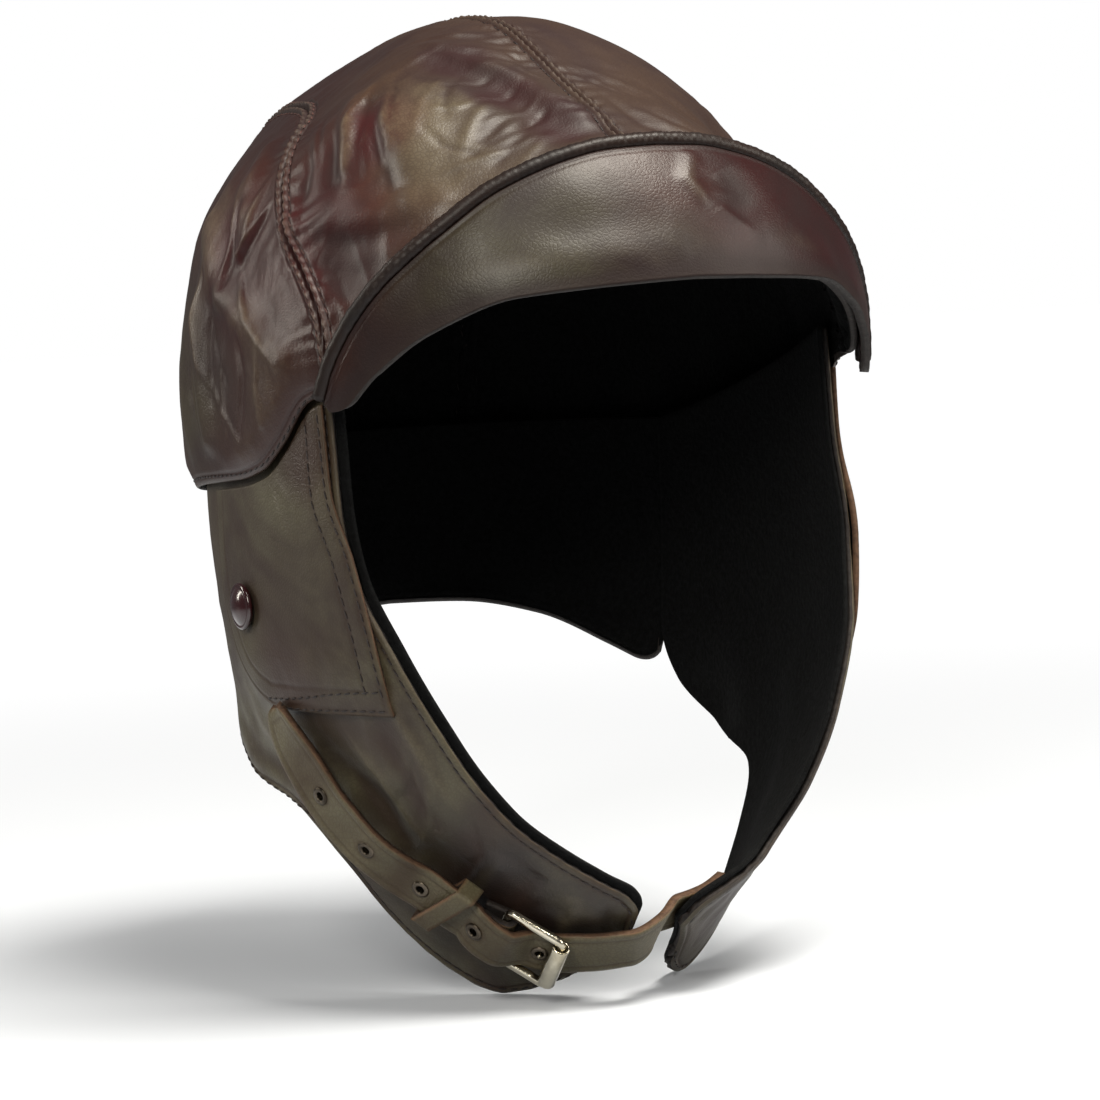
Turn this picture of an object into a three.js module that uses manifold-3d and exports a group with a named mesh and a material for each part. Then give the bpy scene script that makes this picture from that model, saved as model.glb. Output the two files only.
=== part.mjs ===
import * as THREE from 'three'
import Module from 'manifold-3d'
import { mergeVertices } from 'three/addons/utils/BufferGeometryUtils.js'

// A soft leather flying helmet, closed under the chin as it is worn. Lengths are in millimetres and
// angles in degrees. Up is +Z, the face looks along -Y, and the wearer's right ear is at -X.
// The origin is at the inside top of the crown, where the helmet sits on a head.

// Driving sizes of the whole helmet
const HEIGHT = 266
const CROWN_WIDTH = 174
const BROW = 104
const NAPE = 110
const DOME = 100
const CROWN_TAPER = 170

// Walls and the gaps between them
const LEATHER = 1.8
const LINING = 1.2
const LINING_EDGE = 1.8
const PEAK_WALL = 2.4
const BINDING = 4.4
const PATCH_WALL = 1.6
const SEAM = 0.3
const CLEAR = 0.3

// Snap cap, chin strap and buckle
const SNAP_WIDTH = 12.6
const SNAP_HEIGHT = 3
const STRAP_WIDTH = 15
const STRAP_WALL = 2.2
const HOLE_PITCH = 17
const EYELET_BORE = 2.2
const EYELET_WALL = 0.9
const EYELET_RISE = 0.4
const FRAME_LENGTH = 15
const FRAME_BAR = 2.2
const FRAME_EASE = 1.1
const ROLLER_WIDTH = 4.8
const ROLLER_BORE = 3.6
const CHAPE_WALL = 1.6
const CHAPE_TAIL = 6.6
const PRONG = 1.4
const KEEPER_WIDTH = 5.6
const KEEPER_WALL = 1.6
const KEEPER_SKEW = 18

// Where the crown stands
const CROWN_MIDDLE = LEATHER - DOME
const CENTRE_SEAM = -0.04
const BROW_SLOPE = 0.18
const ROUNDNESS = 2.08
const TUCK = 8
const TUCK_FROM = 54
const TUCK_FULL = 62

// Jaw sections from the crown down: drop is a share of HEIGHT, wide of half CROWN_WIDTH, fore of
// BROW and aft of NAPE, and square is the power that rounds the section
const JAW = [
  { drop: 0.25, wide: 0.92, fore: 0.98, aft: 0.945, square: 2.15 },
  { drop: 0.406, wide: 0.925, fore: 0.971, aft: 0.936, square: 2.15 },
  { drop: 0.519, wide: 0.937, fore: 0.952, aft: 0.9, square: 2.15 },
  { drop: 0.632, wide: 0.931, fore: 0.933, aft: 0.827, square: 2.1 },
  { drop: 0.726, wide: 0.874, fore: 0.904, aft: 0.764, square: 2 },
  { drop: 0.801, wide: 0.805, fore: 0.856, aft: 0.709, square: 1.8 },
  { drop: 0.865, wide: 0.713, fore: 0.769, aft: 0.636, square: 1.6 },
  { drop: 0.932, wide: 0.598, fore: 0.606, aft: 0.545, square: 1.6 },
  { drop: 0.996, wide: 0.483, fore: 0.404, aft: 0.455, square: 1.7 },
  { drop: 1.045, wide: 0.391, fore: 0.288, aft: 0.364, square: 1.8 },
]

// Lower edge of the crown, by azimuth from the face
const HEM = [
  { azimuth: 0, elevation: 14.5 },
  { azimuth: 12, elevation: 14 },
  { azimuth: 26, elevation: 13.4 },
  { azimuth: 39, elevation: 9.6 },
  { azimuth: 48, elevation: 5 },
  { azimuth: 56, elevation: 1 },
  { azimuth: 65, elevation: -1.5 },
  { azimuth: 73, elevation: -9 },
  { azimuth: 80, elevation: -13.5 },
  { azimuth: 90, elevation: -15.5 },
  { azimuth: 110, elevation: -16.5 },
  { azimuth: 140, elevation: -17.5 },
  { azimuth: 181, elevation: -18 },
]

// Side seam of the crown, from the temple over to the back of the neck
const SIDE_SEAM = [
  { along: 0, azimuth: 58, elevation: 0.4 },
  { along: 0.08, azimuth: 60, elevation: 11 },
  { along: 0.16, azimuth: 65, elevation: 19.5 },
  { along: 0.24, azimuth: 70, elevation: 25 },
  { along: 0.32, azimuth: 77, elevation: 34 },
  { along: 0.4, azimuth: 85, elevation: 44 },
  { along: 0.48, azimuth: 92, elevation: 50 },
  { along: 0.56, azimuth: 106, elevation: 54 },
  { along: 0.65, azimuth: 124, elevation: 52 },
  { along: 0.74, azimuth: 142, elevation: 43 },
  { along: 0.83, azimuth: 154, elevation: 28 },
  { along: 0.92, azimuth: 161, elevation: 7 },
  { along: 1, azimuth: 164, elevation: -17.8 },
]

// Turned-up peak: its fold below and its free edge above
const PEAK_FOLD = [
  { azimuth: 0, elevation: 13.6 },
  { azimuth: 12, elevation: 13.2 },
  { azimuth: 26, elevation: 12.4 },
  { azimuth: 39, elevation: 8.4 },
  { azimuth: 48, elevation: 3 },
  { azimuth: 58, elevation: -6.5 },
]
const PEAK_EDGE = [
  { azimuth: 0, elevation: 33 },
  { azimuth: 8, elevation: 32.6 },
  { azimuth: 16, elevation: 31.2 },
  { azimuth: 27, elevation: 27.6 },
  { azimuth: 35, elevation: 23 },
  { azimuth: 44, elevation: 17 },
  { azimuth: 50, elevation: 11.4 },
  { azimuth: 55, elevation: 4.4 },
  { azimuth: 58, elevation: -2.4 },
]
const PEAK_END = 57.5
const PEAK_STAND_RIGHT = 0.016
const PEAK_STAND_LEFT = 0.006

// Ear flap stations from the temple down to the chin: azimuth and drop of the face edge and of the
// back edge. The left flap sits askew: its face edge is pulled back and its back edge tucked in
const FLAP = [
  { down: 0, front: 62, frontDrop: 0.346, back: 125, backDrop: 0.444, pull: 0, tuck: 0 },
  { down: 0.08, front: 61, frontDrop: 0.421, back: 125, backDrop: 0.519, pull: 0, tuck: 0 },
  { down: 0.17, front: 60, frontDrop: 0.481, back: 125, backDrop: 0.594, pull: 1, tuck: 0 },
  { down: 0.26, front: 57, frontDrop: 0.556, back: 125, backDrop: 0.662, pull: 3, tuck: 0 },
  { down: 0.35, front: 50, frontDrop: 0.632, back: 121, backDrop: 0.729, pull: 6, tuck: 0 },
  { down: 0.44, front: 44, frontDrop: 0.699, back: 108, backDrop: 0.776, pull: 7, tuck: 0 },
  { down: 0.53, front: 38, frontDrop: 0.759, back: 91, backDrop: 0.806, pull: 9, tuck: 0 },
  { down: 0.62, front: 31, frontDrop: 0.808, back: 83, backDrop: 0.857, pull: 12, tuck: 0 },
  { down: 0.71, front: 23, frontDrop: 0.842, back: 77, backDrop: 0.91, pull: 16, tuck: 2 },
  { down: 0.8, front: 15, frontDrop: 0.868, back: 66, backDrop: 0.959, pull: 17, tuck: 8 },
  { down: 0.88, front: 9, frontDrop: 0.887, back: 45, backDrop: 0.993, pull: 9, tuck: 9 },
  { down: 0.95, front: 6.5, frontDrop: 0.906, back: 22, backDrop: 0.977, pull: 3, tuck: 3 },
  { down: 1, front: 6.5, frontDrop: 0.925, back: 13, backDrop: 0.957, pull: 0.5, tuck: 0 },
]

// Lower edge of the neck guard, from one flap round the back to the other
const GUARD = [
  { azimuth: 125, drop: 0.722 },
  { azimuth: 138, drop: 0.69 },
  { azimuth: 152, drop: 0.655 },
  { azimuth: 166, drop: 0.638 },
  { azimuth: 181, drop: 0.634 },
]
const GUARD_EDGE = 125
const GUARD_TOP = 0.444

// Ear patch stations down from the crown's hem
const PATCH = [
  { down: 0, front: 62.5, back: 105 },
  { down: 0.28, front: 61, back: 105 },
  { down: 0.5, front: 56.6, back: 104 },
  { down: 0.68, front: 54.2, back: 101 },
  { down: 0.85, front: 52.4, back: 96 },
  { down: 0.95, front: 51.6, back: 90.5 },
  { down: 1, front: 51.2, back: 85 },
]
const PATCH_BOTTOM = 0.689
const SNAP_AZIMUTH = 91
const SNAP_DROP = 0.589

// Folds of the crown from one point to another, as shares of DOME for width and height
const CROWN_FOLDS = [
  { from: [-50, 62], to: [-32, 55], width: 0.09, height: -0.03 },
  { from: [-30, 54], to: [-16, 48], width: 0.08, height: -0.045 },
  { from: [-15, 46], to: [-11, 38], width: 0.07, height: -0.035 },
  { from: [-26, 60], to: [-9, 44], width: 0.06, height: 0.02 },
  { from: [-66, 47], to: [-47, 41], width: 0.13, height: 0.026 },
  { from: [-60, 50], to: [-48, 32], width: 0.055, height: -0.022 },
  { from: [-73, 50], to: [-61, 35], width: 0.05, height: -0.016 },
  { from: [-70, 28], to: [-38, 28], width: 0.05, height: 0.014 },
  { from: [-99, 44], to: [-87, 26], width: 0.055, height: 0.018 },
  { from: [-108, 28], to: [-92, 17], width: 0.055, height: 0.02 },
  { from: [-90, 16], to: [-70, 6], width: 0.05, height: 0.018 },
  { from: [-82, 22], to: [-74, 12], width: 0.08, height: -0.016 },
  { from: [-104, 14], to: [-100, -8], width: 0.05, height: 0.016 },
  { from: [-117, 34], to: [-111, 0], width: 0.05, height: -0.02 },
  { from: [19, 47], to: [27, 34], width: 0.08, height: 0.02 },
  { from: [14, 60], to: [46, 42], width: 0.44, height: -0.12 },
  { from: [-118, 62], to: [-96, 58], width: 0.26, height: -0.055 },
  { from: [56, 45], to: [66, 24], width: 0.08, height: -0.018 },
  { from: [96, 36], to: [88, 2], width: 0.07, height: 0.018 },
  { from: [118, 32], to: [112, -4], width: 0.07, height: -0.016 },
  { from: [150, 10], to: [146, -10], width: 0.07, height: -0.014 },
  { from: [-150, 12], to: [-146, -10], width: 0.07, height: -0.014 },
]

// Folds of the ear flaps, as azimuth and drop, with width and height as shares of DOME
const FLAP_FOLDS = [
  { from: [-118, 0.745], to: [-110, 0.76], width: 0.13, height: 0.045 },
  { from: [118, 0.745], to: [110, 0.76], width: 0.13, height: 0.045 },
  { from: [-70, 0.735], to: [-50, 0.83], width: 0.09, height: -0.018 },
  { from: [-52, 0.76], to: [-36, 0.85], width: 0.06, height: 0.012 },
  { from: [75, 0.72], to: [58, 0.83], width: 0.1, height: -0.018 },
  { from: [-104, 0.69], to: [-98, 0.75], width: 0.09, height: -0.016 },
  { from: [104, 0.69], to: [98, 0.75], width: 0.09, height: -0.016 },
]
const FLARE_RIGHT = 0.008
const FLARE_LEFT = 0.024
const FLARE_REACH = 11

// Heights over the flap's leather of what the chin strap passes, up to the strap's middle
const HALF_STRAP = STRAP_WALL / 2
const HEEL_HEIGHT = CLEAR + CHAPE_WALL + CLEAR + FRAME_BAR / 2
const OVER_HEEL = HEEL_HEIGHT + FRAME_BAR / 2 + CLEAR + CHAPE_WALL + 2 * CLEAR + HALF_STRAP
const OVER_CHAPE = OVER_HEEL - CHAPE_WALL + 2 * CLEAR
const UNDER_ROLLER = CLEAR + PRONG + CLEAR + HALF_STRAP + CLEAR
const ROLLER_HEIGHT = UNDER_ROLLER + HALF_STRAP + 2 * CLEAR + ROLLER_WIDTH / 2
const IN_KEEPER = CLEAR + KEEPER_WALL + 3 * CLEAR + HALF_STRAP + CLEAR
const OVER_PATCH = 2 * CLEAR + PATCH_WALL + CLEAR + HALF_STRAP + CLEAR
const TAIL_STAND = OVER_PATCH + 2
const INSIDE = -(LEATHER + CLEAR + LINING + CLEAR + HALF_STRAP + 2 * CLEAR)

// Middle line of the chin strap, from its hidden root inside the left flap to its tail on the right
const STRAP = [
  { azimuth: 26, drop: 0.915 },
  { azimuth: 15, drop: 0.922 },
  { azimuth: 7, drop: 0.926 },
  { azimuth: -7, drop: 0.929 },
  { azimuth: -16, drop: 0.932 },
  { azimuth: -24, drop: 0.932 },
  { azimuth: -34.5, drop: 0.918 },
  { azimuth: -42.5, drop: 0.895 },
  { azimuth: -53, drop: 0.864 },
  { azimuth: -64, drop: 0.822 },
  { azimuth: -73.5, drop: 0.765 },
  { azimuth: -80, drop: 0.708 },
  { azimuth: -84, drop: 0.645 },
]
const LEAVES_ROW = 2
const ARRIVES_ROW = 3
const ROLLER_ROW = 5
const TAIL_REACH = 98
const TAIL_POINT = 12
const FIRST_HOLE = 4
const HOLES = 5

// How finely the shapes are divided
const CROWN_STEPS = 26
const CROWN_BANDS = 9
const SIDE_STEPS = CROWN_STEPS
const SIDE_BANDS = 6
const FLAP_STEPS = 20
const FLAP_BANDS = 9
const PEAK_STEPS = 26
const PEAK_BANDS = 5
const STRAP_STEPS = 42
const TAIL_STEPS = 5
const BINDING_STEPS = 30
const GUARD_STEPS = 14
const GUARD_BANDS = 5
const PATCH_STEPS = 9
const PATCH_ROWS = [0, 0.25, 0.5, 0.68, 0.82, 0.93, 1]
const ROUND_SIDES = 14
const EYELET_SIDES = 10
const PRONG_STEPS = 18

const { degToRad, clamp, lerp, smoothstep } = THREE.MathUtils
const wasm = await Module()
wasm.setup()

// A cubic through a table's rows, level where the column turns back
function along(rows, place, column, at) {
  const slope = (k) => (rows[k + 1][column] - rows[k][column]) / (rows[k + 1][place] - rows[k][place])
  const lean = (k) => {
    if (k === 0) return slope(0)
    if (k === rows.length - 1) return slope(k - 1)
    const before = slope(k - 1)
    const after = slope(k)
    return before * after > 0 ? (2 * before * after) / (before + after) : 0
  }
  let i = 0
  while (i < rows.length - 2 && at > rows[i + 1][place]) i += 1
  const span = rows[i + 1][place] - rows[i][place]
  const t = (at - rows[i][place]) / span
  if (t <= 0) return rows[i][column] + lean(i) * t * span
  if (t >= 1) return rows[i + 1][column] + lean(i + 1) * (t - 1) * span
  const start = rows[i][column] * (1 + 2 * t) * (1 - t) ** 2 + lean(i) * span * t * (1 - t) ** 2
  const end = rows[i + 1][column] * t * t * (3 - 2 * t) + lean(i + 1) * span * t * t * (t - 1)
  return start + end
}

// Equal steps from one number to another
function steps(count, from = 0, to = 1) {
  return Array.from({ length: count + 1 }, (_, i) => lerp(from, to, i / count))
}

// Unit direction from the middle of the crown
function direction(azimuth, elevation) {
  const a = degToRad(azimuth)
  const e = degToRad(elevation)
  return new THREE.Vector3(Math.sin(a) * Math.cos(e), -Math.cos(a) * Math.cos(e), Math.sin(e))
}

// Height that a list of folds adds at a point
function relief(point, folds) {
  let height = 0
  for (const fold of folds) {
    const line = fold.to.clone().sub(fold.from)
    const t = clamp(point.clone().sub(fold.from).dot(line) / line.lengthSq(), 0, 1)
    const gap = point.distanceTo(fold.from.clone().addScaledVector(line, t))
    height += fold.height * DOME * Math.exp(-((gap / (fold.width * DOME)) ** 2))
  }
  return height
}

// Radius of a jaw section at an azimuth
function jawRadius(azimuth, drop) {
  const row = (column) => along(JAW, 'drop', column, drop)
  const ahead = Math.cos(degToRad(azimuth))
  const reach = ahead > 0 ? row('fore') * BROW : row('aft') * NAPE
  const across = Math.abs(Math.sin(degToRad(azimuth))) / (row('wide') * CROWN_WIDTH / 2)
  const power = row('square')
  return (across ** power + (Math.abs(ahead) / reach) ** power) ** (-1 / power)
}

function levelPoint(azimuth, drop, radius) {
  const a = degToRad(azimuth)
  return new THREE.Vector3(radius * Math.sin(a), -radius * Math.cos(a), LEATHER - drop * HEIGHT)
}

const jawPoint = (azimuth, drop) => levelPoint(azimuth, drop, jawRadius(azimuth, drop))

const flapFolds = FLAP_FOLDS.map((fold) => ({
  ...fold,
  from: jawPoint(...fold.from),
  to: jawPoint(...fold.to),
}))

// Azimuth of a flap's face edge at a drop, on the wearer's right or left
function faceEdge(drop, left) {
  const front = along(FLAP, 'frontDrop', 'front', drop)
  return left ? front + along(FLAP, 'frontDrop', 'pull', drop) : front
}

// Outer face of the flaps and the neck guard: the jaw form with its flare and folds
function skin(azimuth, drop) {
  const left = azimuth > 0
  const radius = jawRadius(azimuth, drop)
  const edge = degToRad(Math.abs(azimuth) - faceEdge(drop, left)) * radius
  const flare = (left ? FLARE_LEFT : FLARE_RIGHT) * DOME * Math.exp(-((edge / FLARE_REACH) ** 2))
  const chin = smoothstep(Math.abs(azimuth), 4, 24)
  const below = smoothstep(drop, GUARD_TOP, 0.56)
  const fold = relief(levelPoint(azimuth, drop, radius), flapFolds)
  return levelPoint(azimuth, drop, radius + flare * chin * below + fold)
}

// Outward normal of a surface of two numbers
function normalOf(surface, u, v, du, dv) {
  const across = surface(u + du, v).sub(surface(u - du, v))
  const down = surface(u, v + dv).sub(surface(u, v - dv))
  return across.cross(down).normalize()
}

// Smooth dome of the crown, without its folds
function domePoint(way) {
  const wide = Math.abs(way.x) / (CROWN_WIDTH / 2)
  const long = Math.abs(way.y) / (way.y < 0 ? BROW : NAPE)
  const high = Math.abs(way.z) / (way.z > 0 ? DOME : CROWN_TAPER)
  const radius = (wide ** ROUNDNESS + long ** ROUNDNESS + high ** ROUNDNESS) ** (-1 / ROUNDNESS)
  const point = way.clone().multiplyScalar(radius)
  if (point.y < 0) point.y *= 1 - BROW_SLOPE * clamp(point.z / DOME, 0, 1) ** 2
  return point
}

const crownFolds = CROWN_FOLDS.map((fold) => ({
  ...fold,
  from: domePoint(direction(...fold.from)),
  to: domePoint(direction(...fold.to)),
}))

const hemElevation = (azimuth) => along(HEM, 'azimuth', 'elevation', Math.abs(azimuth))

// Distance from the crown's middle at which its hem lies on the flaps
function hemRadius(azimuth, elevation) {
  const rise = degToRad(elevation)
  let radius = CROWN_WIDTH / 2
  for (let round = 0; round < 4; round += 1) {
    const drop = (LEATHER - CROWN_MIDDLE - radius * Math.sin(rise)) / HEIGHT
    radius = (jawRadius(azimuth, drop) + 2 * CLEAR + LEATHER) / Math.cos(rise)
  }
  return radius
}

// Outer face of the crown: it puffs out over the flaps and tucks in at its hem
function crownPoint(way) {
  const azimuth = THREE.MathUtils.radToDeg(Math.atan2(way.x, -way.y))
  const elevation = THREE.MathUtils.radToDeg(Math.asin(clamp(way.z, -1, 1)))
  const point = domePoint(way)
  const edge = along(PEAK_EDGE, 'azimuth', 'elevation', Math.abs(azimuth))
  const bare = Math.abs(azimuth) > PEAK_END ? 1 : smoothstep(elevation, edge, edge + 7)
  let radius = point.length() + relief(point, crownFolds) * bare
  const aside = smoothstep(Math.abs(azimuth), TUCK_FROM, TUCK_FULL)
  const near = elevation - hemElevation(azimuth)
  if (aside > 0 && near < TUCK) {
    const free = Math.sqrt(1 - (1 - clamp(near / TUCK, 0, 1)) ** 2)
    radius = lerp(radius, lerp(hemRadius(azimuth, elevation), radius, free), aside)
  }
  const placed = point.setLength(radius)
  placed.z += CROWN_MIDDLE
  return placed
}

const hemDrop = (azimuth) => (LEATHER - crownPoint(direction(azimuth, hemElevation(azimuth))).z) / HEIGHT

// Signed volume of an indexed mesh
function volume(points, faces) {
  return faces.reduce((sum, [a, b, c]) => sum + points[a].dot(points[b].clone().cross(points[c])) / 6, 0)
}

// Closed body from points and faces, with coincident points joined and its faces pointing out
function body(points, faces) {
  const places = new Map()
  const joined = points.map((point) => {
    const key = point.toArray().map((value) => Math.round(value * 500)).join()
    if (!places.has(key)) places.set(key, places.size)
    return places.get(key)
  })
  const kept = []
  for (const [key] of places) kept.push(new THREE.Vector3(...key.split(',').map((value) => value / 500)))
  let solid = faces.map((face) => face.map((corner) => joined[corner]))
  solid = solid.filter(([a, b, c]) => a !== b && b !== c && c !== a)
  if (volume(kept, solid) < 0) solid = solid.map(([a, b, c]) => [a, c, b])
  const geometry = new THREE.BufferGeometry().setFromPoints(kept)
  geometry.setIndex(solid.flat())
  geometry.computeVertexNormals()
  return geometry
}

// Wall between two lifts of a surface, with a rim all round
function wall(surface, us, vs, outer, inner) {
  const points = []
  const faces = []
  const share = (list, t) => lerp(list[0], list.at(-1), t)
  const inside = (list, value) => clamp(value, share(list, 0.01), share(list, 0.99))
  const du = (us.at(-1) - us[0]) * 0.004
  const dv = (vs.at(-1) - vs[0]) * 0.004
  const normal = (u, v) => normalOf(surface, inside(us, u), inside(vs, v), du, dv)
  const middle = [share(us, 0.5), share(vs, 0.5)]
  const away = surface(...middle).setZ(0)
  const sign = Math.sign(normal(...middle).dot(away))
  for (const lift of [outer, inner]) {
    for (const u of us) {
      for (const v of vs) {
        const height = typeof lift === 'function' ? lift(u, v) : lift
        points.push(surface(u, v).addScaledVector(normal(u, v), sign * height))
      }
    }
  }
  const rows = vs.length
  const layer = us.length * rows
  const at = (i, j, k) => k * layer + i * rows + j
  const quad = (a, b, c, d) => faces.push([a, b, c], [a, c, d])
  for (let i = 0; i < us.length - 1; i += 1) {
    for (let j = 0; j < rows - 1; j += 1) {
      quad(at(i, j, 0), at(i + 1, j, 0), at(i + 1, j + 1, 0), at(i, j + 1, 0))
      quad(at(i, j, 1), at(i, j + 1, 1), at(i + 1, j + 1, 1), at(i + 1, j, 1))
    }
    quad(at(i, 0, 0), at(i, 0, 1), at(i + 1, 0, 1), at(i + 1, 0, 0))
    quad(at(i, rows - 1, 0), at(i + 1, rows - 1, 0), at(i + 1, rows - 1, 1), at(i, rows - 1, 1))
  }
  const last = us.length - 1
  for (let j = 0; j < rows - 1; j += 1) {
    quad(at(0, j, 0), at(0, j + 1, 0), at(0, j + 1, 1), at(0, j, 1))
    quad(at(last, j, 0), at(last, j, 1), at(last, j + 1, 1), at(last, j + 1, 0))
  }
  return body(points, faces)
}

// Solids of the boolean kernel, from a mesh and back
function toSolid(geometry) {
  const bare = geometry.clone()
  bare.deleteAttribute('normal')
  bare.deleteAttribute('uv')
  const closed = mergeVertices(bare, 1e-4)
  const vertProperties = new Float32Array(closed.attributes.position.array)
  const triVerts = new Uint32Array(closed.index.array)
  return new wasm.Manifold(new wasm.Mesh({ numProp: 3, vertProperties, triVerts }))
}

function fromSolid(solid) {
  const mesh = solid.getMesh()
  const geometry = new THREE.BufferGeometry()
  geometry.setAttribute('position', new THREE.BufferAttribute(new Float32Array(mesh.vertProperties), 3))
  geometry.setIndex(new THREE.BufferAttribute(new Uint32Array(mesh.triVerts), 1))
  geometry.computeVertexNormals()
  return geometry
}

// Materials
const finish = (color, roughness, metalness = 0) =>
  new THREE.MeshStandardMaterial({ color, roughness, metalness })
const crownLeather = finish(0x4a312c, 0.42)
const flapLeather = finish(0x4b463d, 0.5)
const peakLeather = finish(0x453a36, 0.45)
const edging = finish(0x231d1b, 0.5)
const fleece = finish(0x141416, 0.85)
const snapPaint = finish(0x3a1a20, 0.3)
const strapLeather = finish(0x504638, 0.5)
const nickel = finish(0xc4c6b8, 0.25, 1)
const darkMetal = finish(0x4a4a44, 0.4, 1)

const helmet = new THREE.Group()

function add(name, geometry, material) {
  const mesh = new THREE.Mesh(geometry, material)
  mesh.name = name
  helmet.add(mesh)
  return mesh
}

// Crown panels

// Side seam direction, moved by half the seam gap towards the top or the side panel
function sideSeam(s, side, shift) {
  const point = (t) => {
    const azimuth = along(SIDE_SEAM, 'along', 'azimuth', t)
    return direction(side * azimuth, along(SIDE_SEAM, 'along', 'elevation', t))
  }
  const here = point(s)
  const ahead = point(s + 0.004).sub(point(s - 0.004))
  const up = here.clone().cross(ahead).normalize()
  return here.addScaledVector(up, side * shift * SEAM / 2 / DOME).normalize()
}

// Direction on the hem between two directions
function hemBetween(t, start, end) {
  const turn = (way) => THREE.MathUtils.radToDeg(Math.atan2(way.x, -way.y))
  const from = turn(start)
  let to = turn(end)
  if (to - from > 180) to -= 360
  if (to - from < -180) to += 360
  const on = (azimuth) => {
    const folded = Math.abs(azimuth) > 180 ? 360 - Math.abs(azimuth) : Math.abs(azimuth)
    return direction(azimuth, hemElevation(folded))
  }
  const way = on(lerp(from, to, t))
  way.addScaledVector(start.clone().sub(on(from)), 1 - t)
  return way.addScaledVector(end.clone().sub(on(to)), t)
}

function crownTop(side) {
  const front = hemElevation(0)
  const back = 180 - hemElevation(180)
  const centre = (s) => {
    const turn = degToRad(lerp(front, back, s))
    const x = CENTRE_SEAM + side * SEAM / 2 / DOME
    return new THREE.Vector3(x, -Math.cos(turn), Math.sin(turn)).normalize()
  }
  const seam = (s) => sideSeam(s, side, 1)
  const surface = (s, t) => {
    const way = centre(s).multiplyScalar(1 - t).addScaledVector(seam(s), t)
    way.addScaledVector(hemBetween(t, centre(0), seam(0)), 1 - s)
    way.addScaledVector(hemBetween(t, centre(1), seam(1)), s)
    way.addScaledVector(centre(0), -(1 - s) * (1 - t)).addScaledVector(seam(0), -(1 - s) * t)
    way.addScaledVector(centre(1), -s * (1 - t)).addScaledVector(seam(1), -s * t)
    return crownPoint(way.normalize())
  }
  return wall(surface, steps(CROWN_STEPS), steps(CROWN_BANDS), 0, -LEATHER)
}

function crownSide(side) {
  const seam = (s) => sideSeam(s, side, -1)
  const surface = (s, t) => {
    const low = hemBetween(s, seam(0), seam(1)).normalize()
    return crownPoint(low.multiplyScalar(1 - t).addScaledVector(seam(s), t).normalize())
  }
  return wall(surface, steps(SIDE_STEPS), steps(SIDE_BANDS), 0, -LEATHER)
}

// Peak, turned up against the forehead, and the rolled binding on its free edge
function peakPoint(azimuth, rise) {
  const fold = along(PEAK_FOLD, 'azimuth', 'elevation', Math.abs(azimuth))
  const edge = along(PEAK_EDGE, 'azimuth', 'elevation', Math.abs(azimuth))
  const point = domePoint(direction(azimuth, lerp(fold, edge, rise)))
  const stand = lerp(PEAK_STAND_RIGHT, PEAK_STAND_LEFT, smoothstep(azimuth, -PEAK_END, PEAK_END))
  const gap = 2 * CLEAR + PEAK_WALL + stand * DOME * Math.sin(clamp(rise, 0, 1) * Math.PI / 2) ** 1.5
  const placed = point.setLength(point.length() + gap)
  placed.z += CROWN_MIDDLE
  return placed
}

function peakBinding() {
  const line = steps(BINDING_STEPS, -PEAK_END, PEAK_END).map((azimuth) => {
    const edge = peakPoint(azimuth, 1)
    const up = edge.clone().sub(peakPoint(azimuth, 0.94)).normalize()
    const out = normalOf(peakPoint, azimuth, 0.97, 0.2, 0.01)
    if (out.dot(direction(azimuth, 0)) < 0) out.negate()
    const onward = peakPoint(azimuth + 0.5, 1).sub(peakPoint(azimuth - 0.5, 1))
    const beyond = out.clone().cross(onward).normalize()
    if (beyond.dot(up) < 0) beyond.negate()
    return edge.addScaledVector(beyond, BINDING / 2 + CLEAR).addScaledVector(out, -PEAK_WALL / 2)
  })
  return rod(new THREE.CatmullRomCurve3(line), BINDING, BINDING_STEPS, 4)
}

// Ear flaps with their linings, patches and snaps
function flapSurface(side) {
  return (v, u) => {
    const row = (column) => along(FLAP, 'down', column, v)
    const front = row('front') + (side > 0 ? row('pull') : 0)
    const back = row('back') - (side > 0 ? row('tuck') : 0)
    return skin(side * lerp(front, back, u), lerp(row('frontDrop'), row('backDrop'), u))
  }
}

function lining(side) {
  const leather = flapSurface(side)
  const surface = (v, u) => {
    if (u >= 0) return leather(v, u)
    const edge = leather(v, 0)
    const outward = edge.clone().sub(leather(v, 0.02)).normalize()
    return edge.addScaledVector(outward, -u * LINING_EDGE)
  }
  const outer = -(LEATHER + CLEAR)
  return wall(surface, steps(FLAP_STEPS), [-1, ...steps(FLAP_BANDS)], outer, outer - LINING)
}

function neckGuard() {
  const start = GUARD_EDGE + SEAM
  const surface = (u, v) => {
    const azimuth = lerp(start, 360 - start, u)
    const folded = azimuth > 180 ? 360 - azimuth : azimuth
    const drop = lerp(GUARD_TOP, along(GUARD, 'azimuth', 'drop', folded), v)
    return skin(azimuth > 180 ? azimuth - 360 : azimuth, drop)
  }
  return wall(surface, steps(GUARD_STEPS), steps(GUARD_BANDS), 0, -LEATHER)
}

function patch(side) {
  const surface = (u, v) => {
    const azimuth = lerp(along(PATCH, 'down', 'front', v), along(PATCH, 'down', 'back', v), u)
    const pull = side > 0 ? along(FLAP, 'frontDrop', 'pull', PATCH_BOTTOM) * v * (1 - u) : 0
    const top = hemDrop(azimuth) + (LEATHER + CLEAR) / HEIGHT
    return skin(side * (azimuth + pull), lerp(top, PATCH_BOTTOM, v))
  }
  return wall(surface, steps(PATCH_STEPS), PATCH_ROWS, 2 * CLEAR + PATCH_WALL, 2 * CLEAR)
}

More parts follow.
